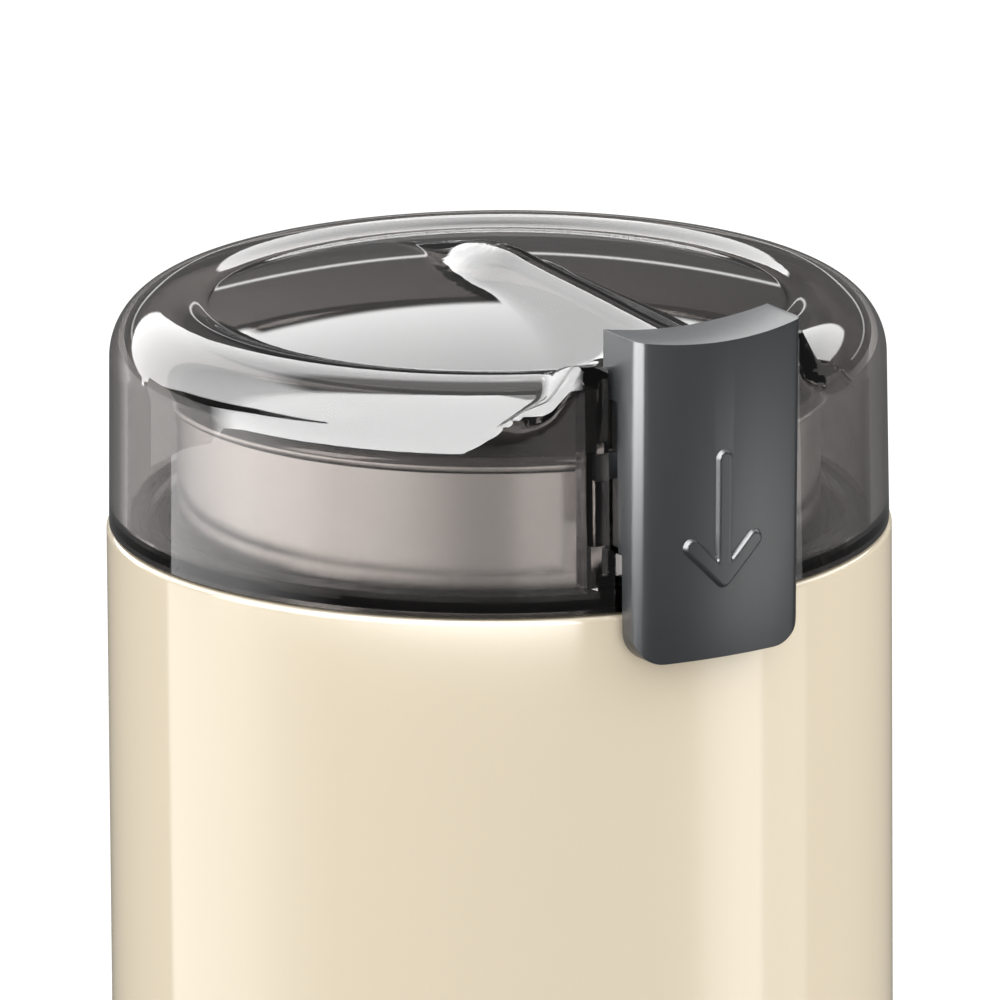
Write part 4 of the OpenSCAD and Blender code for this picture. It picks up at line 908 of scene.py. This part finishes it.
def repeated(tree, part, count, radius, first, z, turnedOver=0.0):
    # Copies of part on a ring round the axis, each turned to face outwards
    index = Value(tree, addNode(tree, "GeometryNodeInputIndex", (-1400, -400)).outputs[0])
    angle = index * (2 * math.pi) / count + first
    x, y = (Value(tree, maths(tree, side, angle)) * radius for side in ("COSINE", "SINE"))
    spots = addNode(tree, "GeometryNodePoints", (200, -200),
                    {"Count": count, "Position": point(tree, x, y, z)})
    copies = addNode(tree, "GeometryNodeInstanceOnPoints", (400, 0), {
        "Points": spots.outputs[0], "Instance": part,
        "Rotation": point(tree, turnedOver, 0.0, angle)})
    return realized(tree, copies.outputs[0], (600, 0))


def realized(tree, geometry, place):
    return addNode(tree, "GeometryNodeRealizeInstances", place, {0: geometry}).outputs[0]


def finished(tree, size, geometry):
    finish = addNode(tree, "GeometryNodeSetMaterial", (1000, 0), {
        "Geometry": realized(tree, geometry, (800, 0)), "Material": size["Finish"]})
    addNode(tree, "NodeGroupOutput", (1200, 0), {0: finish.outputs[0]})
    return tree


def screwTree(inputs):
    # Cross-headed screws; the head hangs below the height, the shank stands on it
    tree, size = growthTree("crossScrews", inputs)
    headR, headH, recess = size["Head Radius"], size["Head Height"], size["Recess"]
    rim = headH * 0.55
    head = mixed(tree, "UNION", drum(tree, headR, rim * -1.0, rim),
                 cone(tree, headR * 0.8, headR, headH * -1.0, headH - rim))
    low = point(tree, z=headH * -1.0)
    head = mixed(tree, "DIFFERENCE", head, bar(tree, headR, recess, headH, low),
                 bar(tree, recess, headR, headH, low))
    shank = drum(tree, size["Shank Radius"], -overlap, size["Shank Length"] + overlap, 24)
    ring = repeated(tree, mixed(tree, "UNION", head, shank), size["Count"], size["Ring Radius"],
                    size["First Angle"], size["Height"], size["Turned Over"])
    return finished(tree, size, ring)


def footTree(inputs):
    # Rubber feet with a chamfer and two rings under each
    tree, size = growthTree("feet", inputs)
    radius, edge, line = size["Radius"], size["Edge"], size["Ring Width"]
    foot = mixed(tree, "UNION", cone(tree, radius - edge, radius, 0.0, edge),
                 drum(tree, radius, edge, size["Length"] - edge))
    rings = []
    for share in (0.72, 0.4):
        outer = radius * share
        rings.append(mixed(tree, "DIFFERENCE", drum(tree, outer, line * -1.0, line * 1.8),
                           drum(tree, outer - line, line * -2.0, line * 4.0)))
    foot = mixed(tree, "DIFFERENCE", foot, *rings)
    return finished(tree, size, repeated(tree, foot, size["Count"], size["Ring Radius"],
                                         size["First Angle"], 0.0))


def fanTree(inputs):
    tree, size = growthTree("fan", inputs)
    low, height, sheet = size["Low"], size["Height"], size["Sheet"]
    sheetDisc = drum(tree, size["Radius"], low + (height - sheet), sheet, 96)
    hub = drum(tree, size["Hub Radius"], low, height)
    run = size["Radius"] - size["Hub Radius"]
    vane = bar(tree, run, sheet, height, point(tree, run * 0.5 - size["Vane Sink"]))
    vanes = repeated(tree, vane, size["Vanes"], size["Hub Radius"], 0.0, low + height * 0.5)
    body = mixed(tree, "UNION", sheetDisc, hub, vanes)
    return finished(tree, size, mixed(tree, "DIFFERENCE", body,
                                      drum(tree, size["Bore"], 0.0, low * 5.0)))


def plateTree(inputs):
    # Disc with air slots, seats for the feet and counterbored holes for the screws
    tree, size = growthTree("slottedPlate", inputs)
    low, thick, wide = size["Low"], size["Thickness"], size["Slot Width"]
    plain = drum(tree, size["Radius"], low, thick, 192)
    reach = size["Slot End"] - size["Slot Start"] - wide
    deep, half = thick * 3.0, wide * 0.5
    ends = [placed(tree, drum(tree, half, deep * -0.5, deep, 24), point(tree, reach * side))
            for side in (-0.5, 0.5)]
    slot = mixed(tree, "UNION", bar(tree, reach, wide, deep, point(tree)), *ends)
    slots = repeated(tree, slot, size["Slots"], (size["Slot Start"] + size["Slot End"]) * 0.5,
                     0.0, low)
    seat = drum(tree, size["Foot Radius"], -clear, size["Foot Sink"] + clear)
    seats = repeated(tree, seat, 3, size["Foot Ring"], math.pi / 2, low)
    sunk = drum(tree, size["Head Radius"], -clear, size["Head Height"] + clear)
    hole = mixed(tree, "UNION", sunk, drum(tree, size["Hole Radius"], -clear, thick * 4.0, 32))
    holes = repeated(tree, hole, 3, size["Screw Ring"], math.pi / 6, low)
    return finished(tree, size, mixed(tree, "DIFFERENCE", plain, slots, seats, holes))


def inMetres(sizes):
    # Lengths are kept in millimetres, angles in degrees and counts as whole numbers
    out = {}
    for key, value in sizes.items():
        scale = math.radians(1) if key in ("First Angle", "Turned Over") else mm
        out[key] = value if isinstance(value, int) else value * scale
    return out


def grow(name, tree, sizes, slotName):
    obj = meshObject(name, [], [])
    mod = obj.modifiers.new("grow", "NODES")
    mod.node_group = tree
    values = {**inMetres(sizes), "Finish": finishes[slotName]}
    for item in tree.interface.items_tree:
        if item.in_out == "INPUT":
            mod[item.identifier] = values[item.name]
    return smooth(tidy(bake(obj)), 35)


overlap = 0.2 * mm    # what is joined runs this far into its neighbour
clear = 1 * mm        # what is cut runs this far past the surface
smallScrew = {"Count": 3, "Ring Radius": 35.4, "First Angle": 30.0, "Height": 3.6,
              "Turned Over": 0.0, "Head Radius": 2.8, "Head Height": 1.6, "Shank Radius": 1.25,
              "Shank Length": 10.4, "Recess": 0.8}
screws = {
    "base_screws": smallScrew,
    "carrier_screws": {**smallScrew, "Ring Radius": 33.0, "First Angle": 90.0, "Height": 100.0,
                       "Shank Length": 9.0},
    "mount_screws": {**smallScrew, "Count": 2, "Ring Radius": 25.5, "First Angle": 0.0,
                     "Height": 87.0, "Head Height": 2.0, "Shank Length": 14.75},
    "stack_screws": {**smallScrew, "Count": 2, "Ring Radius": 18.5, "First Angle": 90.0,
                     "Height": 89.5, "Turned Over": 180.0, "Head Radius": 3.0,
                     "Head Height": 2.4, "Shank Radius": 1.7, "Shank Length": 59.0},
}
feet = {"Count": 3, "Ring Radius": 31.0, "First Angle": 90.0, "Radius": 5.0, "Length": 3.2,
        "Edge": 0.6, "Ring Width": 0.5}
fan = {"Vanes": 8, "Radius": 24.0, "Hub Radius": 5.5, "Height": 8.0, "Low": 9.0, "Sheet": 1.2,
       "Bore": 2.52, "Vane Sink": 1.0}
plate = {"Slots": 12, "Radius": 40.7, "Low": 2.0, "Thickness": 2.5, "Slot Width": 2.4,
         "Slot Start": 9.0, "Slot End": 23.0, "Foot Radius": 5.02, "Foot Sink": 1.2,
         "Foot Ring": 31.0, "Head Radius": 3.0, "Head Height": 1.6, "Hole Radius": 1.6,
         "Screw Ring": 35.4}
# The capacitor's socket on the base plate
socket = {"angle": 210, "middle": 32.5, "long": 17.0, "wide": 7.0, "rim": 1.2, "gap": 0.05}


def makeBasePlate():
    c = socket
    piece = grow("slottedBase", plateTree(inMetres(plate)), plate, "dark_plastic")
    top = plate["Low"] + plate["Thickness"]
    halfW, halfL = c["wide"] / 2, c["long"] / 2
    rim = block("socket", (c["middle"] - halfW - c["rim"], -halfL - c["rim"], top - 0.5),
                (c["middle"] + halfW + c["rim"], halfL + c["rim"], top + 2 * c["rim"]))
    halfW, halfL = halfW + c["gap"] / 2, halfL + c["gap"] / 2
    room = block("room", (c["middle"] - halfW, -halfL, top), (c["middle"] + halfW, halfL, top + 5))
    carve(piece, [turn(ease(rim, 0.3, 2), "Z", c["angle"])], "UNION")
    carve(piece, [turn(room, "Z", c["angle"])])
    return smooth(piece, 35)


print("screws, feet, fan and base")
screwGrowth = screwTree(inMetres(smallScrew))
for node, values in screws.items():
    piece = grow(node.replace("_s", "S"), screwGrowth, values, "zinc_steel")
    dress(piece, "zinc_steel", "base", node)
dress(grow("rubberFeet", footTree(inMetres(feet)), feet, "black_rubber"),
      "black_rubber", "base", "rubber_feet")
dress(grow("coolingFan", fanTree(inMetres(fan)), fan, "dark_plastic"),
      "dark_plastic", "spindle", "cooling_fan")
dress(makeBasePlate(), "dark_plastic", "base", "base_plate")

dress(lidShell, "smoked_plastic", "lid", "lid")
dress(housingShell, "cream_plastic", "base", "housing")
dress(bowlPiece, "bowl_steel", "base", "grinding_bowl")
dress(buttonPiece, "button_plastic", "button", "press_button")


# Floor, lights and camera

view = {"azimuth": -31.1, "elevation": 14.9, "distance": 2.3, "frame": 0.1107, "roll": 0.4,
        "aimZ": 0.14056, "aimRight": 0.00011}
studio = {"floorHalf": 12000, "worldLight": 0.98, "worldMirrored": 0.2,
          "cloth": (190, 189, 187), "floorSeen": 0.56, "floorGlow": 0.3, "floorMirrored": 0.12}
# What gloss and clear plastic reflect: strength by direction from the camera's own side
surround = {
    "radius": 1500, "low": 0.12, "edge": 1.2,
    # By how far round from the camera: the ceiling's lower edge, and its strength
    "ceilingFrom": ((-180, 31), (-170, 31), (-168, 23), (-150, 16), (-128, 5), (-126, -25),
                    (20, -25), (26, 60), (95, 60), (110, 26), (150, 26), (170, 31), (180, 31)),
    "ceiling": ((-180, 4.6), (-160, 5.2), (-120, 6), (-88, 10), (-80, 17), (20, 17), (30, 5),
                (100, 5), (180, 4.6)),
    # Dark gap in the ceiling: bearing, height and half its width
    "gap": ((-126, -2, 5), (-105, 10, 4.5), (-77, 20, 3), (-52, 23, 0.5)),
    # Bright line low behind: height, half its width and strength, and its first bearing
    "slit": (15.0, 0.8, 2.4), "slitFrom": 130,
    # Overhead and behind, the ceiling is weaker: strength, from which height and bearing
    "overhead": 1.2, "overheadFrom": 55, "behindFrom": 85,
    # Upright ring that carries the ceiling down to the floor in front: bearing and strength
    "ring": ((-121, 0.8), (-90, 1.5), (-80, 17), (20, 17), (24, 0.1)), "ringRadius": 500,
    "ringTop": 190,
}
# Nearer wall: bearing, height of its top and strength round it
softWall = {"radius": 334, "stops": (
    (-119, 71, 0.1), (-107.5, 75, 0.1), (-107, 75.2, 2.7), (-101, 77.4, 2.7), (-89, 80.5, 2.7),
    (-76, 87.5, 2.5), (-60, 88, 1.0), (-46, 88, 0.15), (45, 88, 0.15), (53, 92, 0.5),
    (60, 98, 2.6), (68, 98, 3.6), (77.3, 98, 3.6), (77.5, 98, 1.4), (95, 98, 1.2))}
# What the bowl mirrors through the lid: bearing and strength
bowlLight = {"radius": 300, "top": 125, "stops": (
    (-180, 0.3), (-150, 0.6), (-128, 2.6), (-105, 4.0), (-76, 4.3), (-36, 3.2), (-10, 1.6),
    (3, 1.5), (8, 2.4), (35, 2.3), (50, 1.4), (70, 2.4), (110, 2.2), (135, 0.5), (180, 0.3))}
# What is seen behind, through the clear lid: darker towards the right
backLight = {"radius": 310, "top": 420, "stops": (
    (80, 0.2), (165, 0.24), (173, 0.32), (177, 0.42), (181, 0.48), (185, 0.62), (189, 0.85),
    (200, 0.95), (220, 1.0))}
# Lamps: azimuth, elevation, distance, width and height in metres, and power
lamps = {"keyLamp": (-95, 35, 1.1, 0.5, 0.8, 3), "fillLamp": (60, 30, 1.2, 0.5, 0.8, 3.4)}


def seenKinds(tree, place):
    # 1 for rays from the camera or through clear plastic, off an outer gloss, off metal that lies
    # under plastic, and straight on through plastic
    path = addNode(tree, "ShaderNodeLightPath", place).outputs
    through = path["Is Transmission Ray"]
    x, y = place[0] + 200, place[1]
    straight = maths(tree, "MAXIMUM", path["Is Camera Ray"], through, (x, y))
    outer = maths(tree, "SUBTRACT", path["Is Glossy Ray"], through, (x, y - 150), clamp=True)
    mirrored = maths(tree, "MINIMUM", path["Glossy Depth"], 1.0, (x, y - 300))
    inner = maths(tree, "MULTIPLY", through, mirrored, (x + 200, y - 300))
    onward = maths(tree, "SUBTRACT", through, inner, (x + 200, y - 450))
    return straight, outer, inner, onward


def makeWorld():
    world = bpy.data.worlds.new("studio")
    world.use_nodes = True
    tree = world.node_tree
    tree.nodes.clear()
    straight, _, inner, _ = seenKinds(tree, (-700, 0))
    level = mapped(tree, straight, 0.0, 1.0, (-200, 0), studio["worldLight"], 1.0)
    dimmed = mapped(tree, inner, 0.0, 1.0, (-200, -300), 1.0, studio["worldMirrored"])
    back = addNode(tree, "ShaderNodeBackground", (300, 0), {
        "Color": (1, 1, 1, 1), "Strength": maths(tree, "MULTIPLY", level, dimmed)})
    addNode(tree, "ShaderNodeOutputWorld", (600, 0), {0: back.outputs[0]})
    scene.world = world


def mixShaders(tree, mask, first, second):
    return addNode(tree, "ShaderNodeMixShader", (450, 0),
                   {0: mask, 1: first, 2: second}).outputs[0]


def glow(tree, strength, place):
    return addNode(tree, "ShaderNodeEmission", place,
                   {"Color": (1, 1, 1, 1), "Strength": strength}).outputs[0]


def newTree(name):
    mat = bpy.data.materials.new(name)
    mat.use_nodes = True
    mat.node_tree.nodes.clear()
    return mat, mat.node_tree


def makeFloor():
    h = studio["floorHalf"]
    floor = meshObject("floor", [(-h, -h, 0), (h, -h, 0), (h, h, 0), (-h, h, 0)], [(0, 1, 2, 3)])
    mat, tree = newTree("paleFloor")
    straight, glossy, _, _ = seenKinds(tree, (-800, -100))
    level = mapped(tree, straight, 0.0, 1.0, (-200, -100), studio["floorGlow"],
                   studio["floorSeen"])
    cloth = addNode(tree, "ShaderNodeBsdfDiffuse", (0, 100), {"Color": linear(*studio["cloth"])})
    both = addNode(tree, "ShaderNodeAddShader", (200, 0),
                   {0: cloth.outputs[0], 1: glow(tree, level, (0, -100))})
    dim = glow(tree, studio["floorMirrored"], (200, -200))
    addNode(tree, "ShaderNodeOutputMaterial", (700, 0),
            {0: mixShaders(tree, glossy, both.outputs[0], dim)})
    floor.data.materials.append(mat)


def glowMaterial(name, kind):
    # Strength comes from the values kept on the mesh, for one kind of ray
    mat, tree = newTree(name)
    strength = addNode(tree, "ShaderNodeAttribute", (0, 0), attribute_name="glow").outputs["Fac"]
    clear = addNode(tree, "ShaderNodeBsdfTransparent", (200, 150)).outputs[0]
    lit = mixShaders(tree, seenKinds(tree, (-400, 300))[kind], clear,
                     glow(tree, strength, (200, 0)))
    addNode(tree, "ShaderNodeOutputMaterial", (700, 0), {0: lit})
    return mat


def bearing(azimuth, r, z):
    # Point at an azimuth from the camera's side, growing to its right
    t = math.radians(azimuth + view["azimuth"])
    return (math.sin(t) * r, -math.cos(t) * r, z)


def glowSheet(name, rows, strengths, mat):
    # rows of points, with the strength at each
    count = len(rows[0])
    faces = [(i * count + k, i * count + k + 1, (i + 1) * count + k + 1, (i + 1) * count + k)
             for i in range(len(rows) - 1) for k in range(count - 1)]
    sheet = meshObject(name, [p for row in rows for p in row], faces)
    values = sheet.data.attributes.new("glow", "FLOAT", "POINT")
    values.data.foreach_set("value", np.array(strengths, np.float32).ravel())
    sheet.data.materials.append(mat)
    for kind in ("camera", "diffuse", "shadow", "volume_scatter"):
        setattr(sheet, "visible_" + kind, False)
    return sheet


def makeSurround(mat):
    s = surround
    azimuths = np.linspace(-180, 180, 721)
    heights = np.concatenate([np.linspace(-6, 40, 116), np.linspace(41, 90, 30)])
    low = np.interp(azimuths, *zip(*s["ceilingFrom"]))
    level = np.interp(azimuths, *zip(*s["ceiling"]))
    turns, mids, halves = zip(*s["gap"])
    mid = np.interp(azimuths, turns, mids)
    half = np.interp(azimuths, turns, halves, -9, -9)
    rows, strengths = [], []
    centre, wide, strong = s["slit"]
    aside = np.clip((np.abs(azimuths) - s["behindFrom"]) / 10, 0, 1)
    for e in heights:
        r, z = s["radius"] * math.cos(math.radians(e)), s["radius"] * math.sin(math.radians(e))
        rows.append([bearing(a, r, z) for a in azimuths])
        t = np.clip((e - low) / s["edge"], 0, 1)
        t = np.minimum(t, np.clip((np.abs(e - mid) - half) / 1.5, 0, 1))
        behind = aside * np.clip((e - s["overheadFrom"]) / 6, 0, 1)
        full = level + (s["overhead"] - level) * behind
        soft = s["low"] + (full - s["low"]) * t * t * (3 - 2 * t)
        slit = strong * max(0, 1 - abs(e - centre) / wide) * (np.abs(azimuths) > s["slitFrom"])
        strengths.append(np.maximum(soft, slit))
    glowSheet("surround", rows, strengths, mat)
    turns = np.linspace(s["ring"][0][0], s["ring"][-1][0], 146)
    rows = [[bearing(a, s["ringRadius"], h) for a in turns] for h in (0, s["ringTop"])]
    glowSheet("ringWall", rows, [np.interp(turns, *zip(*s["ring"]))] * 2, mat)


def makeSoftWall(mat):
    stops = np.array(softWall["stops"])
    azimuths = np.unique(np.concatenate([np.arange(stops[0, 0], stops[-1, 0], 1), stops[:, 0]]))
    tops = np.interp(azimuths, stops[:, 0], stops[:, 1])
    strength = np.interp(azimuths, stops[:, 0], stops[:, 2])
    rows = [[bearing(a, softWall["radius"], h * top) for a, top in zip(azimuths, tops)]
            for h in (0, 0.5, 1)]
    glowSheet("softWall", rows, [strength] * 3, mat)


def makeRoundLight(name, values, mat):
    stops = values["stops"]
    azimuths = np.linspace(stops[0][0], stops[-1][0], 181)
    strength = np.interp(azimuths, *zip(*stops))
    rows = [[bearing(a, values["radius"], h) for a in azimuths] for h in (0, values["top"])]
    glowSheet(name, rows, [strength] * 2, mat)


def direction(azimuth, elevation):
    # Towards a point seen from the object, azimuth 0 over the button and growing to its right
    a, e = math.radians(azimuth), math.radians(elevation)
    return Vector((math.sin(a) * math.cos(e), -math.cos(a) * math.cos(e), math.sin(e)))


def softLamp(name, azimuth, elevation, distance, width, height, power):
    light = bpy.data.lights.new(name, "AREA")
    light.shape = "RECTANGLE"
    light.size, light.size_y = width, height
    light.energy = power
    lamp = bpy.data.objects.new(name, light)
    to = direction(azimuth, elevation)
    lamp.location = Vector((0, 0, 0.1)) + to * distance
    lamp.rotation_euler = to.to_track_quat("Z", "Y").to_euler()
    lamp.visible_glossy = False
    scene.collection.objects.link(lamp)


def makeCamera():
    data = bpy.data.cameras.new("camera")
    data.sensor_width = 36
    data.lens = 36 * view["distance"] / view["frame"]
    camera = bpy.data.objects.new("camera", data)
    to = direction(view["azimuth"], view["elevation"])
    a = math.radians(view["azimuth"])
    aim = Vector((math.cos(a) * view["aimRight"], math.sin(a) * view["aimRight"], view["aimZ"]))
    turnTo = to.to_track_quat("Z", "Y").to_matrix().to_4x4()
    turnTo = turnTo @ Matrix.Rotation(math.radians(-view["roll"]), 4, "Z")
    camera.matrix_world = Matrix.Translation(aim + to * view["distance"]) @ turnTo
    scene.collection.objects.link(camera)
    scene.camera = camera


print("studio")
makeWorld()
makeFloor()
studioGlow = glowMaterial("studioGlow", 1)
makeSurround(studioGlow)
makeSoftWall(studioGlow)
makeRoundLight("bowlLight", bowlLight, glowMaterial("bowlGlow", 2))
makeRoundLight("backLight", backLight, glowMaterial("backGlow", 3))
makeCamera()
for name, values in lamps.items():
    softLamp(name, *values)
scene.view_settings.view_transform = "Standard"
